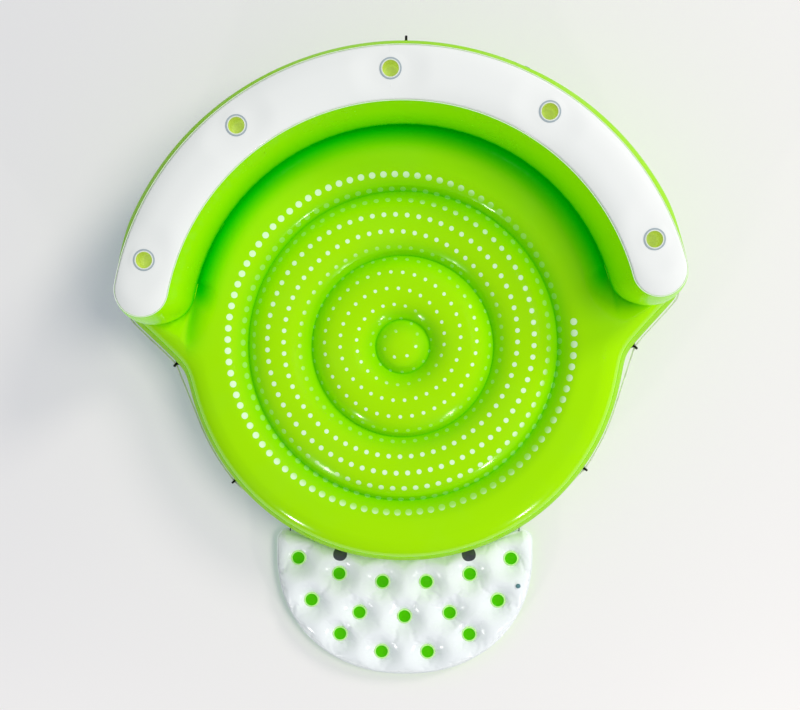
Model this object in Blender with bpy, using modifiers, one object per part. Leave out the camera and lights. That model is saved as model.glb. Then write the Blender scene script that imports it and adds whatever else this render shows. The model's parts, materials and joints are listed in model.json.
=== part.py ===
"""Inflatable pool lounge: a ringed deck, a crescent backrest with cup holders and a tufted boarding mat.

Metres, +Z up. The origin is the deck's centre on the surface that the float lies on, +Y points to the
backrest and +X to the right. The float is welded from thin film, so each panel is its own thin solid.
"""
import math

import bmesh
import bpy
from mathutils import Matrix, Vector
from mathutils.geometry import delaunay_2d_cdt

# Film and clearances
FILM = 0.0005            # thickness of the welded vinyl film
SEAM_GAP = 0.0003        # clearance between two pieces that touch
BUTT = FILM + SEAM_GAP   # how far a panel's edge stays inside the panel that it is welded to

# Base ring, seen from above
FRONT_RADIUS = 1.145     # the base's widest line round the front
FRONT_SHELF = 0.06       # from the well's wall out to that line
SHOULDER_SHELF = 0.10615  # from the foot of the backrest's end out to the shoulder line
SHOULDER_SLOPE = math.radians(45)
SHOULDER_FILLET = 0.04   # softening of the hollow corner where the shoulder leaves the front
CORNER_FILLET = 0.03     # softening of the corner where the shoulder meets the back
CRESCENT_CENTRE_Y = 0.02  # the back's arcs are struck from a point a little behind the origin

# Base ring, in section
SEAM_HEIGHT = 0.33       # weld of the deck sheet to the side wall
SEAM_INSET = 0.05        # that weld lies this far inside the widest line
BOTTOM_SEAM_HEIGHT = 0.03
WALL_BULGE = 0.05
WALL_RINGS = 6

# Deck
DECK_HEIGHT = 0.40       # crown of the rings
WELD_HEIGHT = 0.325      # bottom of the grooves between them
INNER_WELDS = (0.133, 0.455)
OUTER_RING = 0.305       # from the last weld to the well's wall
WELD_SIDES = (20, 40, 40)  # facets round each weld, from the deck down through the webs to the bottom
CENTRE_CROWN = 0.045     # rise of the centre pad above its weld
PAD_SHARE = 0.6          # the centre pad's middle loop, as a share of its weld's radius
RING_SHARES = (0.2, 0.5, 0.8)  # the loops across each inner ring, as shares of its width
FOOT_HEIGHT = 0.365      # the deck under the backrest
OUTER_CROWN = 0.15       # width of the outer ring's crown, from the last weld
RIM_INSET = 0.11         # the front rim, inside the widest line
RIM_DROP = 0.017         # fall of the front rim from the crown
RIM_END = math.radians(-9)  # where the front rim gives way to a crease on each shoulder
CREASE_SWING = 0.035     # how far the crease swings out on its way to the backrest's foot
CREASE_STEPS = 5
PLATEAU_HEIGHT = 0.381   # the flat corner between the crease, the backrest's end and the shoulder
PLATEAU_REACH = 0.02     # how far that corner's middle lies up the shoulder line from the X axis

# Bottom
BOTTOM_WELD_RISE = 0.025
BOTTOM_WELD_WIDTH = 0.055
BOTTOM_RIM_INSET = 0.12  # where the bottom leaves the ground, inside the widest line
AIR_HOLE_RADIUS = 0.02   # air holes through the webs inside

# Backrest
BACKREST_FOOT = 0.29     # width of the backrest at its foot
BACK_SHELF = 0.075       # from the foot to the base's widest line at the back
BACKREST_TOP = 0.78
INNER_LEAN = 0.015       # the inner wall leans back by this much
OUTER_LEAN = 0.03        # the outer wall leans in by this much
INNER_BULGE = 0.02
OUTER_BULGE = 0.06
CRESCENT_END = math.radians(13.5)  # where the rounded ends begin, above the X axis
TOP_CROWN = 0.012
BACKREST_RINGS = 6
# The backrest's panels are welded from sectors that meet halfway between the cups
INNER_ARC_STEPS = (4, 6, 6, 6, 4)  # facets of the inner arc from the right end over the welds to the left
OUTER_ARC_STEPS = (4, 4, 2, 2, 3, 6, 4)  # the same, also stopping at the valve and the mooring eyelet
END_STEPS = 8            # facets round each end
FOOT_MARGIN = 0.012      # flat land on the deck round the backrest's foot

# Cup holders
CUP_COUNT = 5
CUP_OFFSET = 0.0145      # the cups' circle lies outside the middle of the top panel
CUP_END = math.radians(6.3)  # from where the backrest's round end begins to the first cup
CUP_RADIUS = 0.038
CUP_BASE_RADIUS = 0.033
CUP_DEPTH = 0.095
CUP_WALL = 0.001
CUP_CLEARANCE = 0.0015
CUP_RING_WIDTH = 0.011
CUP_RING_THICK = 0.0012
CUP_LIP = 0.0025
CUP_LAND = 0.024         # flat land on the top panel beyond the cup's mouth

# Rope and eyelets
ROPE_RADIUS = 0.005
EYELET_RADIUS = 0.012    # centre line of the eyelet's ring
EYELET_WIRE = 0.0035
EYELET_PAD_RADIUS = 0.018
EYELET_PAD = 0.0025
EYELET_SINK = 0.0018     # how far the ring is sunk in its pad
EYELET_SIDES = 10        # facets round the ring
EYELET_ANGLES = tuple(math.radians(a) for a in (-37, -2.7, 28, 59))
VALVE_ANGLE = math.radians(74.5)
MOORING_ANGLE = math.radians(87)
BACKREST_VALVE_ANGLE = math.radians(60)
KNOT_RADIUS = 0.013
ROPE_STEPS = (4, 3, 11, 5, 6)  # points between the eyelets on one side

# Boarding mat
MAT_TURN = math.radians(-2.1)  # the mat sits a little round the base from the backrest's axis
MAT_HALF_WIDTH = 0.694
MAT_DEPTH = 0.658        # from the mat's near edge, where it is widest, to its front
MAT_ROUNDNESS = 2.15     # exponent of the front edge's outline
MAT_GAP = 0.005          # between the base's widest line and the mat's near edge, at its middle
MAT_BOW = 0.14           # how far the near edge's corners reach round the base
MAT_CORNER_RADIUS = 0.06
MAT_THICKNESS = 0.125
MAT_SEAM_HEIGHT = 0.065
MAT_FLANGE = 0.012
MAT_SHOULDER = 0.035     # width of the mat's rounded edge
MAT_STEPS = (5, 4, 10)   # points along half the near edge, round a corner and along half the front
TUFT_DISC_RADIUS = 0.031
TUFT_WELD = 0.0075
TUFT_DIMPLE = 0.062
TUFT_HEIGHT = 0.07
TUFT_ROWS = (            # arcs round the origin: distance from the near edge, and tufts to each side
    (0.153, (0.119, 0.354, 0.576)),
    (0.337, (0.0, 0.245, 0.506)),
    (0.473, (0.351,)),
    (0.536, (0.125,)),
)
TETHER_X = 0.62
TETHER_SETBACK = 0.15    # the tabs' holes lie this far behind the middle of the near edge
TAB_THICK = 0.004
TAB_HOLE_CLEARANCE = 0.003
TAB_WALL = 0.006
TAB_ARM_HEIGHT = 0.007
MAT_VALVE_X = 0.61
MAT_VALVE_REACH = 0.155  # from the near edge's middle

# Valves, for the large size; the mat's is the small size
VALVE_FLANGE = 0.024
VALVE_FLANGE_THICK = 0.0025
VALVE_BORE = 0.009
VALVE_BARREL_WALL = 0.002
VALVE_BARREL_LENGTH = 0.022
VALVE_CAP = 0.0165
VALVE_CAP_THICK = 0.004
VALVE_PIN_LENGTH = 0.005
VALVE_PIN_CLEARANCE = 0.0012
VALVE_STRAP_WIDTH = 0.010
VALVE_HINGE_OVERHANG = 0.0006  # the strap bends just outside the flange
VALVE_HOLE_CLEARANCE = 0.0005
SMALL_VALVE = 0.52

HALF_TURN = math.pi
QUARTER = math.pi / 2

# Values that follow from the sizes above
WELL_RADIUS = FRONT_RADIUS - FRONT_SHELF
WELD_RADII = (*INNER_WELDS, WELL_RADIUS - OUTER_RING)
FOOT_OUTER = WELL_RADIUS + BACKREST_FOOT
TOP_INNER = WELL_RADIUS + INNER_LEAN
TOP_OUTER = FOOT_OUTER - OUTER_LEAN
CUP_CIRCLE = (TOP_INNER + TOP_OUTER) / 2 + CUP_OFFSET
CUP_STEP = (HALF_TURN - 2 * (CRESCENT_END + CUP_END)) / (CUP_COUNT - 1)
BACK_RADIUS = FOOT_OUTER + BACK_SHELF
WALL_MIDDLE = (SEAM_HEIGHT + BOTTOM_SEAM_HEIGHT) / 2
EYELET_STAND = EYELET_PAD - EYELET_SINK + EYELET_WIRE + EYELET_RADIUS
ROPE_OFFSET = SEAM_GAP + EYELET_STAND
EYELET_HOLE = (EYELET_RADIUS - EYELET_WIRE) * math.cos(math.pi / EYELET_SIDES)
ROPE_DROP = EYELET_HOLE - ROPE_RADIUS - SEAM_GAP  # the rope lies in the eyelets' lower side
ROPE_HEIGHT = WALL_MIDDLE - ROPE_DROP
TAB_HOLE = ROPE_RADIUS + TAB_HOLE_CLEARANCE
# The knot sits in the mouth of the tab's hole
KNOT_SEAT = math.sqrt((KNOT_RADIUS + SEAM_GAP) ** 2 - TAB_HOLE ** 2)
KNOT_X = TETHER_X - TAB_THICK / 2 - KNOT_SEAT
CRESCENT_CENTRE = Vector((0.0, CRESCENT_CENTRE_Y))
END_SPOKE = Vector((math.cos(CRESCENT_END), math.sin(CRESCENT_END)))
END_CENTRE = CRESCENT_CENTRE + END_SPOKE * (WELL_RADIUS + BACKREST_FOOT / 2)
SHOULDER_NORMAL = Vector((math.sin(SHOULDER_SLOPE), -math.cos(SHOULDER_SLOPE)))
SHOULDER_DISTANCE = END_CENTRE.dot(SHOULDER_NORMAL) + BACKREST_FOOT / 2 + SHOULDER_SHELF
MAT_NEAR_Y = FRONT_RADIUS + MAT_GAP
MAT_CORNER_Y = MAT_NEAR_Y - MAT_BOW
TETHER_Y = MAT_NEAR_Y - TETHER_SETBACK
MAT_VALVE_Y = MAT_NEAR_Y + MAT_VALVE_REACH

for old in list(bpy.data.objects):
    bpy.data.objects.remove(old, do_unlink=True)


def new_collection(name):
    """Makes a collection in the scene, replacing one of the same name."""
    old = bpy.data.collections.get(name)
    if old:
        bpy.data.collections.remove(old)
    made = bpy.data.collections.new(name)
    bpy.context.scene.collection.children.link(made)
    return made


PARTS = new_collection("pool_lounge")
CUTTERS = new_collection("cutters")


def plastic(name, colour, roughness):
    """A plain Principled material."""
    made = bpy.data.materials.get(name) or bpy.data.materials.new(name)
    made.use_nodes = True
    shader = made.node_tree.nodes["Principled BSDF"]
    shader.inputs["Base Color"].default_value = (*colour, 1.0)
    shader.inputs["Roughness"].default_value = roughness
    shader.inputs["Metallic"].default_value = 0.0
    made.diffuse_color = (*colour, 1.0)
    return made


GREEN = plastic("green_film", (0.38, 0.85, 0.0), 0.3)
WHITE = plastic("white_film", (0.88, 0.92, 0.92), 0.35)
CUP_GREEN = plastic("cup_film", (0.45, 0.6, 0.1), 0.2)
RING_GREY = plastic("ring_film", (0.3, 0.42, 0.46), 0.25)
BLACK = plastic("black_rubber", (0.012, 0.012, 0.012), 0.55)
ROPE_WHITE = plastic("rope_fibre", (0.85, 0.85, 0.83), 0.8)
VALVE_BLUE = plastic("valve_plastic", (0.1, 0.23, 0.26), 0.35)


def add_object(name, mesh, material, home=PARTS):
    """Links a mesh as a named object with one material."""
    made = bpy.data.objects.new(name, mesh)
    home.objects.link(made)
    if material:
        mesh.materials.append(material)
    return made


def finish_mesh(name, bm, material, smooth=True, home=PARTS):
    """Turns a bmesh into an object with outward normals."""
    bmesh.ops.recalc_face_normals(bm, faces=bm.faces)
    mesh = bpy.data.meshes.new(name)
    bm.to_mesh(mesh)
    bm.free()
    if smooth:
        mesh.shade_smooth()
        mesh.set_sharp_from_angle(angle=math.radians(40))
    return add_object(name, mesh, material, home)


def thicken(target, amount=FILM):
    """Gives an open sheet its thickness on its inner side."""
    shell = target.modifiers.new("thickness", "SOLIDIFY")
    shell.thickness = amount
    shell.offset = -1.0
    return target


def combine(target, other, operation):
    """Cuts or joins one object with another, which is left as a guide."""
    other.hide_render = True
    other.display_type = "WIRE"
    boolean = target.modifiers.new(other.name, "BOOLEAN")
    boolean.operation = operation
    boolean.solver = "EXACT"
    boolean.object = other


def cut(target, cutter):
    """Cuts an object with a cutter."""
    combine(target, cutter, "DIFFERENCE")


def join(target, other):
    """Joins a second shape to an object."""
    combine(target, other, "UNION")


def loft(name, rings, material, closed=True):
    """A sheet through rings of equal length; its faces point to the right of the rings' direction."""
    mesh = bpy.data.meshes.new(name)
    count = len(rings[0])
    points = [point for ring in rings for point in ring]
    steps = count if closed else count - 1
    faces = []
    for row in range(len(rings) - 1):
        for column in range(steps):
            here = row * count + column
            there = row * count + (column + 1) % count
            faces.append((here, here + count, there + count, there))
    mesh.from_pydata(points, [], faces)
    mesh.shade_smooth()
    return thicken(add_object(name, mesh, material))


def inside(point, loop):
    """Whether a plan point lies inside a closed plan loop."""
    hit = False
    for start, end in zip(loop, loop[1:] + loop[:1]):
        if (start[1] > point[1]) != (end[1] > point[1]):
            crossing = start[0] + (point[1] - start[1]) / (end[1] - start[1]) * (end[0] - start[0])
            hit ^= point[0] < crossing
    return hit


def net(name, border, loops, holes, material, facing, lines=()):
    """A sheet spanned over plan loops, each point carrying its own height.

    The first argument after the name is the closed border. Loops are more closed rings of points,
    holes are closed rings that stay open, lines are open rows of points, and facing is 1 for a top
    sheet and -1 for a bottom one.
    """
    points, edges = [], []
    for ring in [border, *loops, *holes]:
        first = len(points)
        points.extend(ring)
        edges.extend((first + i, first + (i + 1) % len(ring)) for i in range(len(ring)))
    for line in lines:
        first = len(points)
        points.extend(line)
        edges.extend((first + i, first + i + 1) for i in range(len(line) - 1))
    plan = [Vector((p[0], p[1])) for p in points]
    verts, _, faces, origins, _, _ = delaunay_2d_cdt(plan, edges, [], 0, 1e-6)
    heights = [points[origin[0]][2] for origin in origins]
    kept = []
    for face in faces:
        middle = sum((verts[i] for i in face), Vector((0.0, 0.0))) / len(face)
        if inside(middle, border) and not any(inside(middle, hole) for hole in holes):
            kept.append(tuple(face) if facing > 0 else tuple(reversed(face)))
    mesh = bpy.data.meshes.new(name)
    mesh.from_pydata([(v.x, v.y, z) for v, z in zip(verts, heights)], [], kept)
    bm = bmesh.new()
    bm.from_mesh(mesh)
    loose = [v for v in bm.verts if not v.link_faces]
    bmesh.ops.delete(bm, geom=loose, context="VERTS")
    bm.to_mesh(mesh)
    bm.free()
    mesh.shade_smooth()
    return thicken(add_object(name, mesh, material))


def circle(radius, height, count, centre=(0.0, 0.0)):
    """A ring of points at one height."""
    step = 2 * HALF_TURN / count
    return [
        (centre[0] + radius * math.cos(i * step), centre[1] + radius * math.sin(i * step), height)
        for i in range(count)
    ]


def turned(name, profile, material, steps, home=PARTS):
    """A body of revolution about Z.

    The profile runs down the outer side, and one that touches the axis is solid.
    """
    on_axis = profile[0][0] == 0.0
    count = len(profile)
    edges = [(i, (i + 1) % count) for i in range(count - on_axis)]
    mesh = bpy.data.meshes.new(name)
    mesh.from_pydata([(r, 0.0, z) for r, z in profile], edges, [])
    made = add_object(name, mesh, material, home)
    spin = made.modifiers.new("turn", "SCREW")
    spin.steps = steps
    spin.render_steps = steps
    spin.use_merge_vertices = True
    spin.merge_threshold = 0.00001
    spin.use_smooth_shade = True
    return made


# Outline of the base
def base_radius(angle):
    """Distance from the origin to the base's widest line, at an angle from +X."""
    folded = math.atan2(math.sin(angle), abs(math.cos(angle)))
    lean = SHOULDER_SLOPE - folded
    if lean > QUARTER:
        shoulder = SHOULDER_DISTANCE
    else:
        shoulder = SHOULDER_DISTANCE / math.sin(max(lean, 0.05))
    across = BACK_RADIUS ** 2 - (CRESCENT_CENTRE_Y * math.cos(folded)) ** 2
    back = CRESCENT_CENTRE_Y * math.sin(folded) + math.sqrt(across)
    outer = (FRONT_RADIUS + shoulder + math.hypot(FRONT_RADIUS - shoulder, SHOULDER_FILLET)) / 2
    return (outer + back - math.hypot(outer - back, CORNER_FILLET)) / 2


def base_point(angle, inset=0.0):
    """A plan point on the base's widest line, or inside it by an inset square to the line."""
    small = 0.002

    def place(a):
        return Vector((math.cos(a), math.sin(a))) * base_radius(a)

    along = place(angle + small) - place(angle - small)
    normal = Vector((along.y, -along.x)).normalized()
    return place(angle) - normal * inset, normal


def spread(anchors, counts):
    """Angles through the anchors, with each gap divided into its own count of steps."""
    angles = []
    for start, end, count in zip(anchors, anchors[1:], counts):
        angles.extend(start + (end - start) * i / count for i in range(count))
    return angles + [anchors[-1]]


# Plan of the backrest and angles where facets meet
PANEL_SEAMS = tuple(QUARTER + (i - CUP_COUNT / 2) * CUP_STEP for i in range(1, CUP_COUNT))
INNER_ANCHORS = (CRESCENT_END, *PANEL_SEAMS, HALF_TURN - CRESCENT_END)
OUTER_ANCHORS = tuple(sorted((*INNER_ANCHORS, BACKREST_VALVE_ANGLE, MOORING_ANGLE)))
FILLET_START = math.radians(-16)
SHOULDER_END = math.radians(14)
RIGHT_ANCHORS = (-QUARTER, EYELET_ANGLES[0], FILLET_START, EYELET_ANGLES[1], SHOULDER_END,
                 EYELET_ANGLES[2], EYELET_ANGLES[3], VALVE_ANGLE, QUARTER)
RIGHT_HALF = spread(RIGHT_ANCHORS, (7, 3, 4, 6, 2, 4, 2, 2))
BASE_ANGLES = RIGHT_HALF + [HALF_TURN - a for a in reversed(RIGHT_HALF[1:-1])]


def base_ring(inset, height, angles=BASE_ANGLES):
    """A ring of points inside the base's widest line."""
    return [(*base_point(a, inset)[0], height) for a in angles]


# Outline of the backrest
def crescent_arc(radius, height, angles):
    """A row of points on an arc about the backrest's own centre."""
    plan = [CRESCENT_CENTRE + Vector((math.cos(a), math.sin(a))) * radius for a in angles]
    return [(p.x, p.y, height) for p in plan]


def between(angles, start, end, trim=0.0):
    """The angles from start to end, with the two ends drawn in by a trim."""
    kept = [a for a in angles if start - 1e-6 < a < end + 1e-6]
    kept[0] += trim
    kept[-1] -= trim
    return kept


INNER_ANGLES = spread(INNER_ANCHORS, INNER_ARC_STEPS)
OUTER_ANGLES = spread(OUTER_ANCHORS, OUTER_ARC_STEPS)


def crescent_end(inner, outer, height, side, steps=END_STEPS):
    """One rounded end of the backrest, from its outer arc's end to its inner arc's end.

    The side is 1 for the right end and -1 for the left one.
    """
    half = (outer - inner) / 2
    centre = CRESCENT_CENTRE + END_SPOKE * (inner + half)
    points = []
    for i in range(steps + 1):
        turn = CRESCENT_END - HALF_TURN * i / steps
        spot = centre + Vector((math.cos(turn), math.sin(turn))) * half
        points.append((side * spot.x, spot.y, height))
    return points


def crescent_outline(inner, outer, height):
    """The whole backrest's outline: right end, inner arc, left end and outer arc."""
    right = crescent_end(inner, outer, height, 1)
    arc = crescent_arc(inner, height, INNER_ANGLES)[1:-1]
    left = list(reversed(crescent_end(inner, outer, height, -1)))
    back = list(reversed(crescent_arc(outer, height, OUTER_ANGLES)[1:-1]))
    return right + arc + left + back


def backrest_section(share):
    """Inner and outer radius and height of the backrest at a share of its height."""
    swell = math.sin(HALF_TURN * share)
    inner = WELL_RADIUS + (TOP_INNER - WELL_RADIUS) * share - INNER_BULGE * swell
    outer = FOOT_OUTER + (TOP_OUTER - FOOT_OUTER) * share + OUTER_BULGE * swell
    foot = FOOT_HEIGHT + SEAM_GAP
    return inner, outer, foot + (BACKREST_TOP - foot) * share


def wall_section(share):
    """Inset and height of the base's side wall, from its top weld to its bottom weld."""
    inset = SEAM_INSET - WALL_BULGE * math.sin(HALF_TURN * share)
    return inset, SEAM_HEIGHT + (BOTTOM_SEAM_HEIGHT - SEAM_HEIGHT) * share


# Base: deck, side wall, bottom and the rings of web inside
def crown(share, low, high):
    """Height of a crowned ring at a share of its width."""
    return low + (high - low) * (1 - (2 * share - 1) ** 2)


def shoulder_crease(foot, rim):
    """The crease that bounds the outer ring on a shoulder, from the backrest's foot to the front rim."""
    line = []
    for i in range(CREASE_STEPS + 1):
        share = i / CREASE_STEPS
        spot = Vector(foot).lerp(Vector(rim), share)
        outward = Vector((spot.x, spot.y, 0.0)).normalized()
        line.append(tuple(spot + outward * CREASE_SWING * math.sin(HALF_TURN * share)))
    return line


def shoulder_plateau(side):
    """A point in the middle of the flat corner beside the crease."""
    shelf = SHOULDER_DISTANCE - SEAM_INSET * 2
    along = Vector((-SHOULDER_NORMAL.y, SHOULDER_NORMAL.x))
    foot = SHOULDER_NORMAL * shelf + along * (shelf + PLATEAU_REACH)
    return side * foot.x, foot.y, PLATEAU_HEIGHT


def build_deck():
    """The ringed top sheet, which runs on under the backrest."""
    pad_height = crown((1 + PAD_SHARE) / 2, WELD_HEIGHT, WELD_HEIGHT + CENTRE_CROWN)
    loops = [circle(WELD_RADII[0] * PAD_SHARE, pad_height, WELD_SIDES[0] // 2)]
    for radius, sides in zip(WELD_RADII, WELD_SIDES):
        loops.append(circle(radius, WELD_HEIGHT, sides))
    for start, end, sides in zip(WELD_RADII, WELD_RADII[1:], WELD_SIDES):
        for share in RING_SHARES:
            count = sides if share < 0.5 else WELD_SIDES[1]
            height = crown(share, WELD_HEIGHT, DECK_HEIGHT)
            loops.append(circle(start + (end - start) * share, height, count))
    last = WELD_RADII[-1]
    first = RING_SHARES[0]
    rise = crown(first, WELD_HEIGHT, DECK_HEIGHT)
    loops.append(circle(last + OUTER_CROWN * 2 * first, rise, WELD_SIDES[2]))
    loops.append(circle(last + OUTER_CROWN, DECK_HEIGHT, WELD_SIDES[2]))
    foot = (WELL_RADIUS - FOOT_MARGIN, FOOT_OUTER + FOOT_MARGIN, FOOT_HEIGHT)
    loops.append(crescent_outline(*foot))
    right = [a for a in RIGHT_HALF if a < RIM_END]
    left = [HALF_TURN - a for a in reversed(right[1:])]
    rim = base_ring(RIM_INSET, DECK_HEIGHT - RIM_DROP, left + right)
    lines = [[(0.0, 0.0, WELD_HEIGHT + CENTRE_CROWN)], rim]
    for side, rim_end in ((1, rim[-1]), (-1, rim[0])):
        foot_end = crescent_end(*foot, side)[-2]
        lines.append(shoulder_crease(foot_end, rim_end))
        lines.append([shoulder_plateau(side)])
    border = base_ring(SEAM_INSET + BUTT, SEAM_HEIGHT)
    return net("deck_sheet", border, loops, [], GREEN, 1, lines)


def build_bottom():
    """The bottom sheet: flat rings on the ground between raised welds."""
    width = BOTTOM_WELD_WIDTH
    loops = [circle(WELD_RADII[0] - width, 0.0, WELD_SIDES[0] // 2)]
    for radius, sides in zip(WELD_RADII, WELD_SIDES):
        loops.append(circle(radius, BOTTOM_WELD_RISE, sides))
        loops.append(circle(radius + width, 0.0, sides))
    for radius, sides in zip(WELD_RADII[1:], WELD_SIDES):
        loops.append(circle(radius - width, 0.0, sides))
    loops.append(base_ring(BOTTOM_RIM_INSET, 0.0))
    border = base_ring(SEAM_INSET + BUTT, BOTTOM_SEAM_HEIGHT)
    return net("hull_bottom_sheet", border, loops, [], WHITE, -1)


def build_side_wall():
    """The base's bulging side wall, cut where the base's valve passes."""
    rings = []
    for i in range(WALL_RINGS + 1):
        inset, height = wall_section(i / WALL_RINGS)
        rings.append(base_ring(inset, height))
    return loft("hull_side_wall", rings, GREEN)


def build_webs():
    """The round webs that hold the deck's grooves down, each with air holes."""
    names = ("web_inner", "web_middle", "web_outer")
    top = WELD_HEIGHT - FILM - SEAM_GAP
    low = BOTTOM_WELD_RISE + FILM + SEAM_GAP
    for name, radius, sides in zip(names, WELD_RADII, WELD_SIDES):
        web = loft(name, [circle(radius, top, sides), circle(radius, low, sides)], WHITE)
        for side in range(2):
            angle = HALF_TURN * (side + 0.5)
            hole = cylinder(f"{name}_air_{side + 1}", AIR_HOLE_RADIUS, AIR_HOLE_RADIUS * 3, 8)
            spoke = Vector((math.cos(angle), math.sin(angle), 0.0))
            hole.matrix_world = aim(spoke * radius + Vector((0, 0, (top + low) / 2)), spoke)
            cut(web, hole)


def box(name, size, centre):
    """A box that joins or cuts another shape."""
    bm = bmesh.new()
    bmesh.ops.create_cube(bm, size=1.0)
    bmesh.ops.scale(bm, vec=size, verts=bm.verts)
    bmesh.ops.translate(bm, vec=centre, verts=bm.verts)
    return finish_mesh(name, bm, None, smooth=False, home=CUTTERS)


def cylinder(name, radius, length, sides, home=CUTTERS, material=None):
    """A cylinder along Z, centred on its origin."""
    bm = bmesh.new()
    bmesh.ops.create_cone(bm, cap_ends=True, segments=sides, radius1=radius, radius2=radius, depth=length)
    return finish_mesh(name, bm, material, smooth=False, home=home)


def aim(place, normal, up=Vector((0.0, 0.0, 1.0))):
    """A frame at a place whose Z follows a normal and whose Y leans to up."""
    z = Vector(normal).normalized()
    x = up.cross(z)
    x = x.normalized() if x.length > 1e-6 else Vector((1.0, 0.0, 0.0))
    y = z.cross(x)
    frame = Matrix((x, y, z)).transposed().to_4x4()
    frame.translation = place
    return frame


# Backrest
def build_backrest_walls():
    """The inner wall, the two rounded ends and the outer wall, which is welded from three strips."""
    sections = [backrest_section(1 - i / BACKREST_RINGS) for i in range(BACKREST_RINGS + 1)]
    rings = []
    for inner, _, height in sections:
        angles = between(INNER_ANGLES, INNER_ANGLES[0], INNER_ANGLES[-1], SEAM_GAP / inner)
        rings.append(list(reversed(crescent_arc(inner, height, angles))))
    loft("backrest_inner_wall", rings, GREEN, closed=False)
    ends = [list(reversed(crescent_end(*section, 1))) for section in sections]
    loft("backrest_end_right", ends, GREEN, closed=False)
    ends = [crescent_end(*section, -1) for section in sections]
    loft("backrest_end_left", ends, GREEN, closed=False)

    strips = []
    welds = (OUTER_ANGLES[0], *PANEL_SEAMS[1:-1], OUTER_ANGLES[-1])
    names = ("backrest_outer_wall_right", "backrest_outer_wall_middle", "backrest_outer_wall_left")
    for name, start, end in zip(names, welds, welds[1:]):
        rings = []
        for _, outer, height in sections:
            rings.append(crescent_arc(outer, height, between(OUTER_ANGLES, start, end, SEAM_GAP / outer)))
        strips.append(loft(name, rings, GREEN, closed=False))
    return strips


def cup_places():
    """Plan centres of the cup holders, from right to left."""
    middle = (CUP_COUNT - 1) / 2
    angles = [QUARTER + (i - middle) * CUP_STEP for i in range(CUP_COUNT)]
    return [CRESCENT_CENTRE + Vector((math.cos(a), math.sin(a))) * CUP_CIRCLE for a in angles]


def sector_outline(inner, outer, height, start, end):
    """One sector of the backrest's outline between two angles, as four rows of points.

    They are the outer arc, the rounded right end, the inner arc and the rounded left end. An end
    that the sector doesn't reach is empty, and the arcs are drawn in there for the weld.
    """
    trim = SEAM_GAP / 2
    first, last = start == INNER_ANGLES[0], end == INNER_ANGLES[-1]
    rows = []
    for radius, angles in ((inner, INNER_ANGLES), (outer, OUTER_ANGLES)):
        kept = between(angles, start, end)
        kept[0] += 0.0 if first else trim / radius
        kept[-1] -= 0.0 if last else trim / radius
        rows.append(crescent_arc(radius, height, kept))
    right = crescent_end(inner, outer, height, 1)[1:-1] if first else []
    left = list(reversed(crescent_end(inner, outer, height, -1)[1:-1])) if last else []
    return list(reversed(rows[1])), right, rows[0], left


def build_top_panel():
    """The white top panel in sectors, each with a hole for a cup.

    It is flat in the middle and falls to its welds.
    """
    land = CUP_RADIUS + CUP_LAND
    level = BACKREST_TOP + TOP_CROWN
    hole_radius = CUP_RADIUS + CUP_WALL + CUP_CLEARANCE
    bounds = (INNER_ANGLES[0], *PANEL_SEAMS, INNER_ANGLES[-1])
    for i, place in enumerate(cup_places()):
        reach = bounds[i:i + 2]
        flat_outer, flat_right, flat_inner, flat_left = sector_outline(
            CUP_CIRCLE - land, CUP_CIRCLE + land, level, *reach)
        outer, right, inner, left = sector_outline(TOP_INNER + BUTT, TOP_OUTER - BUTT, BACKREST_TOP, *reach)
        right = right or [flat_outer[-1], flat_inner[0]]
        left = left or [flat_inner[-1], flat_outer[0]]
        flat = flat_outer + flat_right + flat_inner + flat_left
        hole = circle(hole_radius, level, 16, place)
        net(f"backrest_top_panel_{i + 1}", outer + right + inner + left, [flat], [hole], WHITE, 1)


def build_cups():
    """Each cup holder hangs by its lip from a ring welded on the top panel."""
    panel = BACKREST_TOP + TOP_CROWN
    ring_inner = CUP_RADIUS + CUP_WALL + CUP_CLEARANCE
    ring_outer = CUP_RADIUS + CUP_RING_WIDTH
    ring_low = panel + SEAM_GAP
    ring_top = ring_low + CUP_RING_THICK
    lip_low = ring_top + SEAM_GAP
    lip_top = lip_low + CUP_WALL
    floor = lip_top - CUP_DEPTH
    for i, place in enumerate(cup_places()):
        ring = turned(f"cup_ring_{i + 1}", [
            (ring_outer, ring_top), (ring_outer, ring_low), (ring_inner, ring_low), (ring_inner, ring_top),
        ], RING_GREY, 16)
        cup = turned(f"cup_holder_{i + 1}", [
            (0.0, floor + CUP_WALL), (CUP_BASE_RADIUS - CUP_WALL, floor + CUP_WALL),
            (CUP_RADIUS - CUP_WALL, lip_top - CUP_LIP), (CUP_RADIUS, lip_top),
            (ring_inner + CUP_LIP, lip_top), (ring_inner + CUP_LIP, lip_low),
            (CUP_RADIUS + CUP_WALL / 2, lip_low), (CUP_RADIUS, lip_low - CUP_LIP),
            (CUP_BASE_RADIUS, floor), (0.0, floor),
        ], CUP_GREEN, 16)
        for piece in (ring, cup):
            piece.location = (place.x, place.y, 0.0)


# Eyelets and rope
def eyelet_seat(angle):
    """Where an eyelet's pad sits on the base: in a hollow stretch it rests on the facets beside it."""
    plan, normal = base_point(angle)
    folded = HALF_TURN - angle if angle > QUARTER else angle
    at = min(range(len(BASE_ANGLES)), key=lambda i: abs(BASE_ANGLES[i] - folded))
    centre, outward = base_point(BASE_ANGLES[at])
    lift = 0.0
    for neighbour in (BASE_ANGLES[at - 1], BASE_ANGLES[at + 1]):
        side = base_point(neighbour)[0] - centre
        lift = max(lift, side.dot(outward) / side.length * EYELET_PAD_RADIUS)
    return plan + normal * lift, normal


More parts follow.
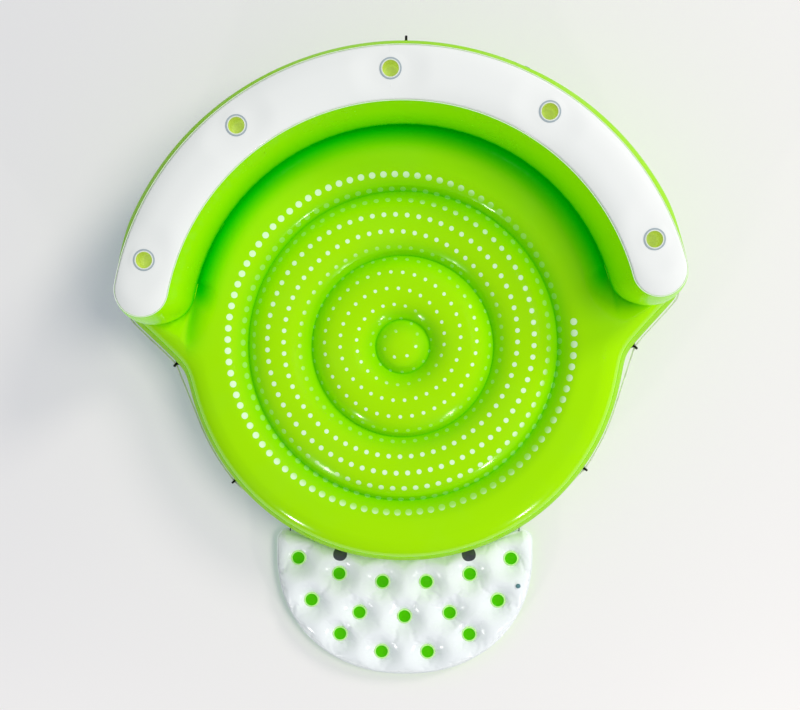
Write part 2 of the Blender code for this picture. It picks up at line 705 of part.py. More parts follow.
def eyelet(name, place, normal, along):
    """A moulded pad with a ring standing on it; the rope runs through the ring."""
    bm = bmesh.new()
    pad_place = Matrix.Translation((0, 0, EYELET_PAD / 2))
    bmesh.ops.create_cone(bm, cap_ends=True, segments=12, radius1=EYELET_PAD_RADIUS,
                          radius2=EYELET_PAD_RADIUS * 0.8, depth=EYELET_PAD, matrix=pad_place)
    pad = finish_mesh(name, bm, BLACK, smooth=False)
    bpy.ops.mesh.primitive_torus_add(major_radius=EYELET_RADIUS, minor_radius=EYELET_WIRE,
                                     major_segments=EYELET_SIDES, minor_segments=6)
    ring = bpy.context.active_object
    ring.name = name + "_ring"
    for home in list(ring.users_collection):
        home.objects.unlink(ring)
    CUTTERS.objects.link(ring)
    z = Vector(normal).normalized()
    x = Vector(along).normalized()
    frame = Matrix((x, z.cross(x), z)).transposed().to_4x4()
    frame.translation = Vector(place) + z * SEAM_GAP
    pad.matrix_world = frame
    ring.matrix_world = frame @ Matrix.Translation((0, 0, EYELET_STAND)) @ Matrix.Rotation(QUARTER, 4, "Y")
    join(pad, ring)


def build_eyelets():
    """Rope eyelets round the base and the mooring eyelet on the backrest."""
    angles = list(EYELET_ANGLES) + [QUARTER] + [HALF_TURN - a for a in reversed(EYELET_ANGLES)]
    for i, angle in enumerate(angles):
        plan, normal = eyelet_seat(angle)
        along = Vector((-normal.y, normal.x, 0.0))
        eyelet(f"rope_eyelet_{i + 1}", (plan.x, plan.y, WALL_MIDDLE), (normal.x, normal.y, 0.0), along)
    _, radius, height = backrest_section(0.5)
    spoke = Vector((math.cos(MOORING_ANGLE), math.sin(MOORING_ANGLE), 0.0))
    place = Vector((*CRESCENT_CENTRE, height)) + spoke * radius
    eyelet("mooring_eyelet", place, spoke, Vector((-spoke.y, spoke.x, 0.0)))


def mat_frame():
    """Turns the mat's own frame into the float's."""
    return Matrix.Rotation(MAT_TURN, 4, "Z")


def rope_route():
    """The grab rope: from a knot at the mat's right tab, round the base, to the left tab."""
    turn = mat_frame()
    front = FRONT_RADIUS + ROPE_OFFSET

    def beside(angle):
        plan, normal = base_point(angle)
        return plan + normal * ROPE_OFFSET

    seat, outward = eyelet_seat(EYELET_ANGLES[1])
    shoulder = seat + outward * ROPE_OFFSET
    shoulder_angle = math.atan2(shoulder.y, shoulder.x)
    touch = shoulder_angle - math.acos(front / shoulder.length)
    right = []
    anchors = (EYELET_ANGLES[0], touch, shoulder_angle)
    for angle in spread(anchors, ROPE_STEPS[:2])[:-1]:
        reach = front / math.cos(max(angle - touch, 0.0))
        right.append(Vector((reach * math.cos(angle), reach * math.sin(angle))))
    right.append(shoulder)
    right += [beside(a) for a in spread((*EYELET_ANGLES[1:], QUARTER), ROPE_STEPS[2:])[1:]]
    left = [Vector((-p.x, p.y)) for p in reversed(right[:-1])]
    points = [Vector((p.x, p.y, ROPE_HEIGHT)) for p in right + left]

    def tail(side, eyelet_point):
        start = KNOT_X + KNOT_RADIUS + SEAM_GAP
        inner = turn @ Vector((side * start, -TETHER_Y, MAT_SEAM_HEIGHT))
        outer = turn @ Vector((side * (TETHER_X + KNOT_SEAT), -TETHER_Y, MAT_SEAM_HEIGHT))
        steps = 7
        run = []
        for i in range(1, steps):
            share = i / steps
            ease = share * share * (3 - 2 * share)
            flat = outer.lerp(eyelet_point, share)
            flat.z = outer.z + (eyelet_point.z - outer.z) * ease
            run.append(flat)
        return [inner, outer] + run

    return tail(1, points[0]) + points + list(reversed(tail(-1, points[-1])))


def build_rope():
    """One rope through all the eyelets and a stopper knot at each end."""
    curve = bpy.data.curves.new("grab_rope", "CURVE")
    curve.dimensions = "3D"
    curve.bevel_depth = ROPE_RADIUS
    curve.bevel_resolution = 2
    curve.use_fill_caps = True
    route = rope_route()
    line = curve.splines.new("POLY")
    line.points.add(len(route) - 1)
    for knot, place in zip(line.points, route):
        knot.co = (*place, 1.0)
    rope = bpy.data.objects.new("grab_rope", curve)
    curve.materials.append(ROPE_WHITE)
    PARTS.objects.link(rope)
    turn = mat_frame()
    for name, side in (("rope_knot_right", 1), ("rope_knot_left", -1)):
        bm = bmesh.new()
        bmesh.ops.create_icosphere(bm, subdivisions=2, radius=KNOT_RADIUS)
        knot = finish_mesh(name, bm, ROPE_WHITE)
        knot.location = turn @ Vector((side * KNOT_X, -TETHER_Y, MAT_SEAM_HEIGHT))


# Boarding mat
def mat_outline(inset=0.0):
    """The mat's outline in its own frame, clockwise from the middle of its near edge."""
    half = MAT_HALF_WIDTH - inset
    depth = MAT_DEPTH - inset
    corner = MAT_CORNER_RADIUS - inset * 0.5
    near, side_y = MAT_NEAR_Y + inset, MAT_CORNER_Y + inset
    near_steps, corner_steps, front_steps = MAT_STEPS
    right = []
    edge = half - corner
    for i in range(near_steps):
        x = edge * i / near_steps
        right.append((x, -(near - MAT_BOW * (x / edge) ** 2)))
    for i in range(corner_steps):
        turn = QUARTER * i / corner_steps
        right.append((edge + corner * math.sin(turn), -(side_y + corner - corner * math.cos(turn))))
    for i in range(front_steps + 1):
        turn = QUARTER * i / front_steps
        x = half * math.cos(turn) ** (2 / MAT_ROUNDNESS)
        right.append((x, -(MAT_NEAR_Y + depth * math.sin(turn) ** (2 / MAT_ROUNDNESS))))
    left = [(-x, y) for x, y in reversed(right[1:-1])]
    return right + left


def tuft_places():
    """Plan centres of the tufts, in the mat's own frame."""
    places = []
    for distance, across in TUFT_ROWS:
        radius = MAT_NEAR_Y + distance
        for x in across:
            for side in ((1, -1) if x else (1,)):
                places.append((side * x, -math.sqrt(radius * radius - x * x)))
    return places


def build_mat():
    """The mat's white top sheet and green bottom sheet, welded at the edge and at every tuft."""
    turn = mat_frame()
    tuft_sides = 9
    lower_seam = MAT_SEAM_HEIGHT - FILM - SEAM_GAP - FILM
    disc_height = TUFT_HEIGHT - FILM - SEAM_GAP - FILM

    def raised(inset, height):
        return [(x, y, height) for x, y in mat_outline(inset)]

    edge_middle = (MAT_SEAM_HEIGHT + MAT_THICKNESS) / 2
    top_loops = [raised(MAT_FLANGE, MAT_SEAM_HEIGHT),
                 raised(MAT_FLANGE + MAT_SHOULDER * 0.3, edge_middle + MAT_SHOULDER * 0.2),
                 raised(MAT_FLANGE + MAT_SHOULDER, MAT_THICKNESS)]
    holes, bottom_loops = [], [raised(MAT_FLANGE, lower_seam), raised(MAT_FLANGE + MAT_SHOULDER, 0.0)]
    weld = TUFT_DISC_RADIUS + TUFT_WELD
    for place in tuft_places():
        holes.append(circle(TUFT_DISC_RADIUS, TUFT_HEIGHT, tuft_sides, place))
        top_loops.append(circle(weld, TUFT_HEIGHT, tuft_sides, place))
        top_loops.append(circle(TUFT_DIMPLE, MAT_THICKNESS, tuft_sides, place))
        bottom_loops.append(circle(weld, disc_height, tuft_sides, place))
        bottom_loops.append(circle(TUFT_DIMPLE, 0.0, tuft_sides, place))
    top = net("mat_top_sheet", raised(0.0, MAT_SEAM_HEIGHT), top_loops, holes, WHITE, 1)
    bottom = net("mat_bottom_sheet", raised(0.0, lower_seam), bottom_loops, [], GREEN, -1)
    for sheet in (top, bottom):
        sheet.matrix_world = turn
    return top


def mat_near_edge(x):
    """How far the mat's near edge lies in front of the origin, at a distance from the mat's middle."""
    return MAT_NEAR_Y - MAT_BOW * (x / (MAT_HALF_WIDTH - MAT_CORNER_RADIUS)) ** 2


def build_tabs():
    """The black tabs on the mat's near corners: a ring for the rope and an arm on the mat's flange."""
    outer = TAB_HOLE + TAB_WALL
    arm_reach = mat_near_edge(TETHER_X) + MAT_FLANGE * 0.5
    for name, side in (("mat_tab_right", 1), ("mat_tab_left", -1)):
        x = side * TETHER_X
        tab = cylinder(name, outer, TAB_THICK, 16, PARTS, BLACK)
        tab.data.transform(aim(Vector((x, -TETHER_Y, MAT_SEAM_HEIGHT)), Vector((1.0, 0.0, 0.0))))
        arm_low = MAT_SEAM_HEIGHT + SEAM_GAP
        arm_start = TETHER_Y + TAB_HOLE
        arm = box(name + "_arm", (TAB_THICK, arm_reach - arm_start, TAB_ARM_HEIGHT),
                  (x, -(arm_start + arm_reach) / 2, arm_low + TAB_ARM_HEIGHT / 2))
        join(tab, arm)
        bore = cylinder(name + "_hole", TAB_HOLE, TAB_THICK * 3, 16)
        bore.data.transform(aim(Vector((x, -TETHER_Y, MAT_SEAM_HEIGHT)), Vector((1.0, 0.0, 0.0))))
        cut(tab, bore)
        for piece in (tab, arm, bore):
            piece.matrix_world = mat_frame()


# Valves
def facet_frame(corners):
    """The frame of a flat facet, from its lower left, lower right, upper right and upper left corners."""
    middle = sum(corners, Vector((0.0, 0.0, 0.0))) / 4
    along = (corners[1] - corners[0]) + (corners[2] - corners[3])
    upward = (corners[3] - corners[0]) + (corners[2] - corners[1])
    return aim(middle, along.cross(upward), upward.normalized())


def wall_valve_frame():
    """The facet of the side wall that carries the base's valve."""
    start = BASE_ANGLES.index(VALVE_ANGLE)
    pair = BASE_ANGLES[start:start + 2]
    middle = WALL_RINGS // 2
    low = base_ring(*wall_section(middle / WALL_RINGS), pair)
    high = base_ring(*wall_section((middle - 1) / WALL_RINGS), pair)
    return facet_frame([Vector(p) for p in (low[0], low[1], high[1], high[0])])


def backrest_valve_frame():
    """The facet of the backrest's outer wall that carries its valve."""
    start = OUTER_ANGLES.index(BACKREST_VALVE_ANGLE)
    rings = []
    for share in (3 / BACKREST_RINGS, 4 / BACKREST_RINGS):
        _, outer, height = backrest_section(share)
        rings.append(crescent_arc(outer, height, OUTER_ANGLES[start:start + 2]))
    low, high = rings
    return facet_frame([Vector(p) for p in (low[0], low[1], high[1], high[0])])


def mat_valve_frame():
    """The flat land on the mat that carries its valve."""
    place = Matrix.Translation((MAT_VALVE_X, -MAT_VALVE_Y, MAT_THICKNESS))
    return mat_frame() @ place


def build_valve(name, frame, size, film):
    """A plug valve through a film: a flanged barrel, and a cap that swings on a strap at its upper side."""
    flange, bore = VALVE_FLANGE * size, VALVE_BORE * size
    barrel = bore + VALVE_BARREL_WALL * size
    flange_top = SEAM_GAP + VALVE_FLANGE_THICK * size
    inner_end = -VALVE_BARREL_LENGTH * size
    body = turned(name + "_body", [
        (flange, flange_top), (flange, SEAM_GAP), (barrel, SEAM_GAP),
        (barrel, inner_end), (bore, inner_end), (bore, flange_top),
    ], VALVE_BLUE, 16)
    body.matrix_world = frame
    opening = cylinder(name + "_opening", barrel + VALVE_HOLE_CLEARANCE, VALVE_BARREL_LENGTH, 16)
    opening.matrix_world = frame
    cut(film, opening)

    low = flange_top + SEAM_GAP
    thick = VALVE_CAP_THICK * size
    radius = VALVE_CAP * size
    pin = bore - VALVE_PIN_CLEARANCE * size
    pin_end = low - VALVE_PIN_LENGTH * size
    hinge = flange + VALVE_HINGE_OVERHANG
    cap = turned(name + "_cap", [
        (0.0, low + thick), (radius * 0.8, low + thick), (radius, low + thick * 0.7),
        (radius, low), (pin, low), (pin, pin_end), (0.0, pin_end),
    ], VALVE_BLUE, 16)
    strap_start = radius * 0.8
    strap = box(name + "_strap", (VALVE_STRAP_WIDTH * size, hinge - strap_start, thick * 0.4),
                (0.0, (hinge + strap_start) / 2, low + thick * 0.2))
    join(cap, strap)
    bpy.context.view_layer.update()
    solid = bpy.data.meshes.new_from_object(cap.evaluated_get(bpy.context.evaluated_depsgraph_get()))
    cap.modifiers.clear()
    bpy.data.objects.remove(strap, do_unlink=True)
    cap.data = solid
    solid.transform(Matrix.Translation((0.0, -hinge, -low)))
    cap.matrix_world = frame @ Matrix.Translation((0.0, hinge, low))


def build_all():
    """Builds the float in order."""
    build_deck()
    build_bottom()
    side_wall = build_side_wall()
    build_webs()
    outer_walls = build_backrest_walls()
    build_top_panel()
    build_cups()
    build_eyelets()
    build_rope()
    mat_top = build_mat()
    build_tabs()
    build_valve("hull_valve", wall_valve_frame(), 1.0, side_wall)
    build_valve("backrest_valve", backrest_valve_frame(), 1.0, outer_walls[0])
    build_valve("mat_valve", mat_valve_frame(), SMALL_VALVE, mat_top)


build_all()
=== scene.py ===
"""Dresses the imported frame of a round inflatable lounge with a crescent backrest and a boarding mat."""
import json
import logging
import math
from dataclasses import dataclass, field
from enum import Enum
from typing import Callable, Optional, Sequence, Union

import bpy
import numpy as np
from mathutils import Matrix, Vector


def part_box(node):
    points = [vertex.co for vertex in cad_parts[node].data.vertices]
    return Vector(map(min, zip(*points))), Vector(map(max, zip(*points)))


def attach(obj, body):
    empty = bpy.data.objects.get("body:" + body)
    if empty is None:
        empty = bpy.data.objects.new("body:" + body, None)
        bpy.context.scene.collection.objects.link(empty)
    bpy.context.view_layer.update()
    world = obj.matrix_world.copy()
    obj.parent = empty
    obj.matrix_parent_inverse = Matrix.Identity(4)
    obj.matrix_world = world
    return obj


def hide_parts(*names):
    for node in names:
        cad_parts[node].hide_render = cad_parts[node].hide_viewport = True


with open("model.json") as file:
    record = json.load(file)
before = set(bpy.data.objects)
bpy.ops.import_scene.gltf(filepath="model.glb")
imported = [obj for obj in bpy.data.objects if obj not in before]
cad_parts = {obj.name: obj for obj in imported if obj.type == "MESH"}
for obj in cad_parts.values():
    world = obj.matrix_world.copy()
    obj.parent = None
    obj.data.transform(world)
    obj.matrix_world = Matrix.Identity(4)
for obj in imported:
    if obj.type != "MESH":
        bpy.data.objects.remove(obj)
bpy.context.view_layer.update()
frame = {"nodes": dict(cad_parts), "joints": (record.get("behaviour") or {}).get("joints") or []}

log = logging.getLogger("lounge")
Socket = bpy.types.NodeSocket
Value = Union[float, Sequence[float], Socket]
QUARTER = math.pi / 2
FILM_THICKNESS = 0.0005
TINY = 1e-6
SEAM_STEPS = 384  # stops along the base's seams, shared by every sheet that is welded there
DRILL_LENGTH = 0.05
PANEL_CROWN = 0.012  # rise of the white panel over its edges
PANEL_DOME = 2.6  # exponent of that rise
FLAT_REACH = (0.030, 0.085)  # a wall is flat within the first distance of a valve, and free beyond the second
FLAT_DEPTH = 0.1


# Modelling helpers
def deselect() -> None:
    """Leave edit mode and deselect everything."""
    if bpy.context.object and bpy.context.object.mode != "OBJECT":
        bpy.ops.object.mode_set(mode="OBJECT")
    bpy.ops.object.select_all(action="DESELECT")


def hold(piece: bpy.types.Object) -> None:
    """Make one piece the only selected and active object."""
    deselect()
    piece.select_set(True)
    bpy.context.view_layer.objects.active = piece


def finish_with(piece: bpy.types.Object, kind: str, **settings) -> None:
    """Put a modifier on a piece and apply it.

    Args:
        piece: The mesh object.
        kind: The modifier's type, such as SOLIDIFY.
        settings: Its values by name.
    """
    hold(piece)
    step = piece.modifiers.new(kind.title(), kind)
    for key, value in settings.items():
        setattr(step, key, value)
    bpy.ops.object.modifier_apply(modifier=step.name)


def close_up(piece: bpy.types.Object, outward: bool = True) -> None:
    """Merge doubled points and, on a closed shape, turn its faces outwards."""
    hold(piece)
    bpy.ops.object.mode_set(mode="EDIT")
    bpy.ops.mesh.select_all(action="SELECT")
    bpy.ops.mesh.remove_doubles(threshold=TINY * 10)
    if outward:
        bpy.ops.mesh.normals_make_consistent(inside=False)
    bpy.ops.object.mode_set(mode="OBJECT")


def shade(piece: bpy.types.Object, angle: float = 40.0) -> None:
    """Shade a piece smooth, apart from edges sharper than an angle in degrees."""
    hold(piece)
    bpy.ops.object.shade_smooth_by_angle(angle=math.radians(angle))


def flip(piece: bpy.types.Object) -> None:
    """Turn a sheet's faces the other way."""
    hold(piece)
    bpy.ops.object.mode_set(mode="EDIT")
    bpy.ops.mesh.select_all(action="SELECT")
    bpy.ops.mesh.flip_normals()
    bpy.ops.object.mode_set(mode="OBJECT")


def make_film(piece: bpy.types.Object, angle: float = 60.0) -> None:
    """Shade a sheet and give it the film's thickness."""
    shade(piece, angle)
    finish_with(piece, "SOLIDIFY", thickness=FILM_THICKNESS, offset=-1.0)


def discard(*pieces: bpy.types.Object) -> None:
    """Remove pieces that only served as models or cutters."""
    for piece in pieces:
        bpy.data.objects.remove(piece, do_unlink=True)


def sheet_grid(name: str, across: int, along: int, shape: Callable[[float, float], Vector],
               facing: Callable[[Vector], Vector]) -> bpy.types.Object:
    """A sheet whose points are set by a formula.

    Args:
        name: The piece's name.
        across: Faces in the first direction.
        along: Faces in the second direction.
        shape: Gives the place of a point from its two shares, 0 to 1.
        facing: Gives the side that the faces should look to, at a place.

    Returns:
        The sheet, with doubled points merged and its faces turned to that side.
    """
    deselect()
    bpy.ops.mesh.primitive_grid_add(x_subdivisions=across, y_subdivisions=along, size=1.0,
                                    location=(0, 0, 0))
    piece = bpy.context.active_object
    piece.name = piece.data.name = name
    for vertex in piece.data.vertices:
        vertex.co = shape(vertex.co.x + 0.5, vertex.co.y + 0.5)
    close_up(piece, outward=False)
    piece.data.update()
    lean = sum(p.normal.dot(facing(p.center)) * p.area for p in piece.data.polygons)
    if lean < 0:
        flip(piece)
    return piece


def turned(name: str, profile: Sequence[tuple[float, float]], steps: int,
           place: Matrix = Matrix.Identity(4)) -> bpy.types.Object:
    """A solid of revolution about its own Z axis.

    Args:
        name: The piece's name.
        profile: A closed outline of radius and height.
        steps: Facets round the axis.
        place: The frame that the piece is put in.

    Returns:
        The closed solid, placed in its mesh.
    """
    deselect()
    bpy.ops.mesh.primitive_circle_add(vertices=len(profile), radius=1.0, location=(0, 0, 0))
    piece = bpy.context.active_object
    piece.name = piece.data.name = name
    for vertex, (radius, height) in zip(piece.data.vertices, profile):
        vertex.co = (radius, 0.0, height)
    bpy.ops.object.mode_set(mode="EDIT")
    bpy.ops.mesh.select_all(action="SELECT")
    bpy.ops.mesh.spin(steps=steps, angle=math.tau, center=(0, 0, 0), axis=(0, 0, 1))
    bpy.ops.object.mode_set(mode="OBJECT")
    close_up(piece)
    piece.data.transform(place)
    shade(piece)
    return piece


def joined(name: str, pieces: Sequence[bpy.types.Object]) -> bpy.types.Object:
    """Join pieces into one object of that name."""
    hold(pieces[0])
    for piece in pieces[1:]:
        piece.select_set(True)
    bpy.ops.object.join()
    pieces[0].name = pieces[0].data.name = name
    return pieces[0]


def copied(name: str, piece: bpy.types.Object, place: Matrix) -> bpy.types.Object:
    """Copy a piece with its own mesh and put the copy in a frame."""
    hold(piece)
    bpy.ops.object.duplicate(linked=False)
    twin = bpy.context.active_object
    twin.name = twin.data.name = name
    twin.data.transform(place)
    return twin


def drilled(piece: bpy.types.Object, place: Matrix, radius: float) -> None:
    """Cut a round hole through a closed film at a frame, along its Z axis."""
    deselect()
    bpy.ops.mesh.primitive_cylinder_add(vertices=48, radius=radius, depth=DRILL_LENGTH, location=(0, 0, 0))
    cutter = bpy.context.active_object
    cutter.data.transform(place)
    finish_with(piece, "BOOLEAN", object=cutter, operation="DIFFERENCE", solver="EXACT")
    discard(cutter)


def tube(name: str, lines: Sequence[Sequence[Vector]], radius: float, closed: bool = False,
         sides: int = 1) -> bpy.types.Object:
    """Round strands along lines of points, as one mesh.

    Args:
        name: The piece's name.
        lines: The points of each strand.
        radius: A strand's radius.
        closed: Whether each strand joins its own start.
        sides: Bevel resolution; a strand has 4 + 2 x sides facets round it.

    Returns:
        The mesh of all the strands.
    """
    curve = bpy.data.curves.new(name, "CURVE")
    curve.dimensions = "3D"
    curve.bevel_depth = radius
    curve.bevel_resolution = sides
    curve.use_fill_caps = not closed
    for line in lines:
        spline = curve.splines.new("POLY")
        spline.points.add(len(line) - 1)
        for knot, place in zip(spline.points, line):
            knot.co = (*place, 1.0)
        spline.use_cyclic_u = closed
    piece = bpy.data.objects.new(name, curve)
    bpy.context.scene.collection.objects.link(piece)
    hold(piece)
    bpy.ops.object.convert(target="MESH")
    close_up(piece)
    shade(piece, 60)
    return piece


def band(name: str, path: Sequence[Vector], upward: Sequence[Vector], width: float, height: float,
         closed: bool = True, sides: int = 8) -> bpy.types.Object:
    """A flat welded bead swept along a path.

    Args:
        name: The piece's name.
        path: The points of its middle line.
        upward: The direction in which the bead stands up, at each point.
        width: Its full width.
        height: Its full height.
        closed: Whether the path joins its own start.
        sides: Facets round the bead.

    Returns:
        The bead, closed at both ends where the path is open.
    """
    count = len(path)
    frames = []
    for i, place in enumerate(path):
        before, after = path[i - 1], path[(i + 1) % count]
        if not closed:
            before, after = path[max(i - 1, 0)], path[min(i + 1, count - 1)]
        rise = upward[i].normalized()
        frames.append((place, (after - before).normalized().cross(rise).normalized(), rise))
    if closed:
        frames.append(frames[0])

    def shape(u: float, v: float) -> Vector:
        place, side, rise = frames[round(u * (len(frames) - 1))]
        turn = math.tau * v
        if not closed and u in (0.0, 1.0):
            return place
        return place + side * (math.cos(turn) * width / 2) + rise * (math.sin(turn) * height / 2)

    piece = sheet_grid(name, len(frames) - 1, sides, shape, lambda p: Vector((0, 0, 1)))
    close_up(piece)
    shade(piece, 70)
    return piece


# Shader helpers
class Desk:
    """Places nodes in one tree and links them in short calls."""

    def __init__(self, tree: bpy.types.NodeTree) -> None:
        """Keep the tree that the nodes go in."""
        self.tree = tree

    def put(self, kind: str, inputs: Optional[dict] = None, **settings) -> bpy.types.Node:
        """Add a node, with its settings and the values or links of its inputs."""
        node = self.tree.nodes.new(kind)
        for key, value in settings.items():
            setattr(node, key, value)
        for key, value in (inputs or {}).items():
            self.feed(node.inputs[key], value)
        return node

    def feed(self, socket: Socket, value: Value) -> None:
        """Link a socket to another, or set its value."""
        if isinstance(value, Socket):
            self.tree.links.new(value, socket)
        else:
            socket.default_value = value

    def math(self, operation: str, *values: Value) -> Socket:
        """The result of a Math node."""
        return self.put("ShaderNodeMath", dict(enumerate(values)), operation=operation).outputs[0]

    def vector(self, operation: str, *values: Value) -> bpy.types.Node:
        """A Vector Math node on its inputs in order."""
        return self.put("ShaderNodeVectorMath", dict(enumerate(values)), operation=operation)

    def step(self, value: Value, low: float, high: float, start: float = 0.0, end: float = 1.0) -> Socket:
        """A value eased from start to end while another goes from low to high."""
        ends = {"Value": value, "From Min": low, "From Max": high, "To Min": start, "To Max": end}
        return self.put("ShaderNodeMapRange", ends, interpolation_type="SMOOTHSTEP").outputs[0]

    def mix(self, share: Value, first: Value, second: Value) -> Socket:
        """A colour between two others."""
        node = self.put("ShaderNodeMix", data_type="RGBA")
        for index, value in ((0, share), (6, first), (7, second)):
            self.feed(node.inputs[index], value)
        return node.outputs[2]

    def noise(self, place: Value, scale: float, detail: float = 2.0, rough: float = 0.5) -> Socket:
        """The height of a Noise texture at a place."""
        inputs = {"Vector": place, "Scale": scale, "Detail": detail, "Roughness": rough}
        return self.put("ShaderNodeTexNoise", inputs).outputs["Fac"]

    def bump(self, height: Socket) -> Socket:
        """The surface's direction under a height in metres."""
        return self.put("ShaderNodeBump", {"Strength": 1.0, "Distance": 1.0, "Height": height}).outputs[0]

    def place(self) -> Socket:
        """Object coordinates."""
        return self.put("ShaderNodeTexCoord").outputs["Object"]

    def group(self, tree: bpy.types.NodeTree, **inputs: Value) -> bpy.types.Node:
        """Use a node group with its inputs."""
        node = self.put("ShaderNodeGroup", node_tree=tree)
        for key, value in inputs.items():
            self.feed(node.inputs[key], value)
        return node


def new_group(name: str, inputs: Sequence[tuple[str, str, float]], outputs: Sequence[tuple[str, str]]
              ) -> tuple[Desk, bpy.types.Node, bpy.types.Node]:
    """Start a shader node group.

    Args:
        name: The group's name.
        inputs: Name, kind of socket and default value of each input.
        outputs: Name and kind of each output.

    Returns:
        The desk to place nodes with, the input node and the output node.
    """
    tree = bpy.data.node_groups.new(name, "ShaderNodeTree")
    for label, kind, value in inputs:
        socket = tree.interface.new_socket(label, in_out="INPUT", socket_type=kind)
        if kind == "NodeSocketFloat":
            socket.default_value = value
    for label, kind in outputs:
        tree.interface.new_socket(label, in_out="OUTPUT", socket_type=kind)
    desk = Desk(tree)
    return desk, desk.put("NodeGroupInput"), desk.put("NodeGroupOutput")


def blank_material(name: str) -> tuple[bpy.types.Material, Desk]:
    """A material with an empty tree, and the desk to place its nodes with."""
    material = bpy.data.materials.new(name)
    material.use_nodes = True
    material.node_tree.nodes.clear()
    return material, Desk(material.node_tree)


def linear(red: float, green: float, blue: float) -> tuple[float, float, float, float]:
    """A colour given in 0 to 255 as on a screen, turned into linear light."""
    tones = [c / 255 for c in (red, green, blue)]
    return (*(c / 12.92 if c <= 0.04045 else ((c + 0.055) / 1.055) ** 2.4 for c in tones), 1.0)


def crumple_group() -> bpy.types.NodeTree:
    """Fine creases of blown-up film: sharp low ridges that cross a slow swell, as a height in metres."""
    kinds = [("Place", "NodeSocketVector", 0), ("Scale", "NodeSocketFloat", 9.0),
             ("Depth", "NodeSocketFloat", 0.0006)]
    desk, given, result = new_group("film_crumple", kinds, [("Height", "NodeSocketFloat")])
    where = desk.vector("SCALE", given.outputs["Place"]).outputs[0]
    desk.feed(where.node.inputs["Scale"], given.outputs["Scale"])
    swell = desk.noise(where, 1.0, 1.0)
    fold = desk.noise(where, 2.3, 2.0, 0.55)
    ridge = desk.math("ABSOLUTE", desk.math("SUBTRACT", fold, 0.5))
    crease = desk.step(ridge, 0.0, 0.09, 1.0, 0.0)
    gate = desk.step(desk.noise(where, 0.8, 0.0), 0.52, 0.68)
    both = desk.math("ADD", desk.math("MULTIPLY", swell, 2.2),
                     desk.math("MULTIPLY", crease, desk.math("MULTIPLY", gate, 0.12)))
    desk.feed(result.inputs["Height"], desk.math("MULTIPLY", both, given.outputs["Depth"]))
    return desk.tree


def handling_group() -> bpy.types.NodeTree:
    """Smears and dried water on film: a mask that dulls the gloss here and there."""
    desk, given, result = new_group("handling_marks", [("Place", "NodeSocketVector", 0)],
                                    [("Smear", "NodeSocketFloat"), ("Specks", "NodeSocketFloat")])
    wide = desk.noise(given.outputs["Place"], 3.2, 3.0, 0.6)
    fine = desk.noise(given.outputs["Place"], 55.0, 2.0, 0.5)
    desk.feed(result.inputs["Smear"], desk.step(wide, 0.42, 0.72))
    desk.feed(result.inputs["Specks"], desk.step(fine, 0.60, 0.74))
    return desk.tree


@dataclass(frozen=True)
class SpiralPrint:
    """A spiral of round dots, printed on the flat film before it is welded and blown up.

    All lengths are measured along the film, from the print's centre.
    """
    turns: float = 12.32
    start_angle: float = math.radians(4.07)
    spacing: float = 0.0655
    centre: tuple[float, float] = (-0.0333, 0.02)
    reach: float = 1.026
    left_out: float = 0.34
    smallest: float = 0.0080
    largest: float = 0.0172

    def group(self) -> bpy.types.NodeTree:
        """The node group that gives the dots' mask.

        Returns:
            A group from the film's flat place and the share of real to flat length to the mask.
        """
        kinds = [("Film", "NodeSocketVector", 0), ("Squeeze", "NodeSocketFloat", 1.0)]
        desk, given, result = new_group("dot_spiral", kinds, [("Mask", "NodeSocketFloat")])
        pitch = self.reach / self.turns
        shifted = desk.vector("SUBTRACT", given.outputs["Film"], (*self.centre, 0.0)).outputs[0]
        flat = desk.put("ShaderNodeSeparateXYZ", {0: shifted})
        radius = desk.vector("LENGTH", shifted).outputs["Value"]
        angle = desk.math("ARCTAN2", flat.outputs[1], flat.outputs[0])
        part = desk.math("FRACT", desk.math(
            "ADD", desk.math("DIVIDE", desk.math("SUBTRACT", self.start_angle, angle), math.tau), 2.0))
        depth = desk.math("DIVIDE", desk.math("SUBTRACT", self.reach, radius), pitch)
        whole = desk.math("ROUND", desk.math("SUBTRACT", depth, part))
        turn = desk.math("ADD", whole, part)
        run = desk.math("SUBTRACT", desk.math("MULTIPLY", turn, self.turns),
                        desk.math("MULTIPLY", desk.math("MULTIPLY", turn, turn), 0.5))
        run = desk.math("MULTIPLY", run, math.tau * pitch / self.spacing)
        across = desk.math("MULTIPLY", desk.math("SUBTRACT", depth, turn), pitch)
        beside = desk.math("MULTIPLY", desk.math("SUBTRACT", run, desk.math("ROUND", run)), self.spacing)
        beside = desk.math("MULTIPLY", beside, given.outputs["Squeeze"])
        away = desk.math("SQRT", desk.math("ADD", desk.math("MULTIPLY", across, across),
                                           desk.math("MULTIPLY", beside, beside)))
        growth = desk.math("POWER", desk.math("DIVIDE", radius, self.reach), 2.4)
        size = desk.put("ShaderNodeMapRange", {"Value": growth, "To Min": self.smallest,
                                               "To Max": self.largest}).outputs[0]
        dot = desk.step(desk.math("SUBTRACT", away, size), -0.0007, 0.0007, 1.0, 0.0)
        inside = desk.math("MULTIPLY", desk.math("GREATER_THAN", turn, -0.004),
                           desk.math("LESS_THAN", turn, self.turns - self.left_out))
        desk.feed(result.inputs["Mask"], desk.math("MULTIPLY", dot, inside))
        return desk.tree


class Groups:
    """The node groups that several finishes share, each built once."""
    crumple: bpy.types.NodeTree
    marks: bpy.types.NodeTree

    @classmethod
    def build(cls) -> None:
        """Build the shared groups."""
        cls.crumple = crumple_group()
        cls.marks = handling_group()


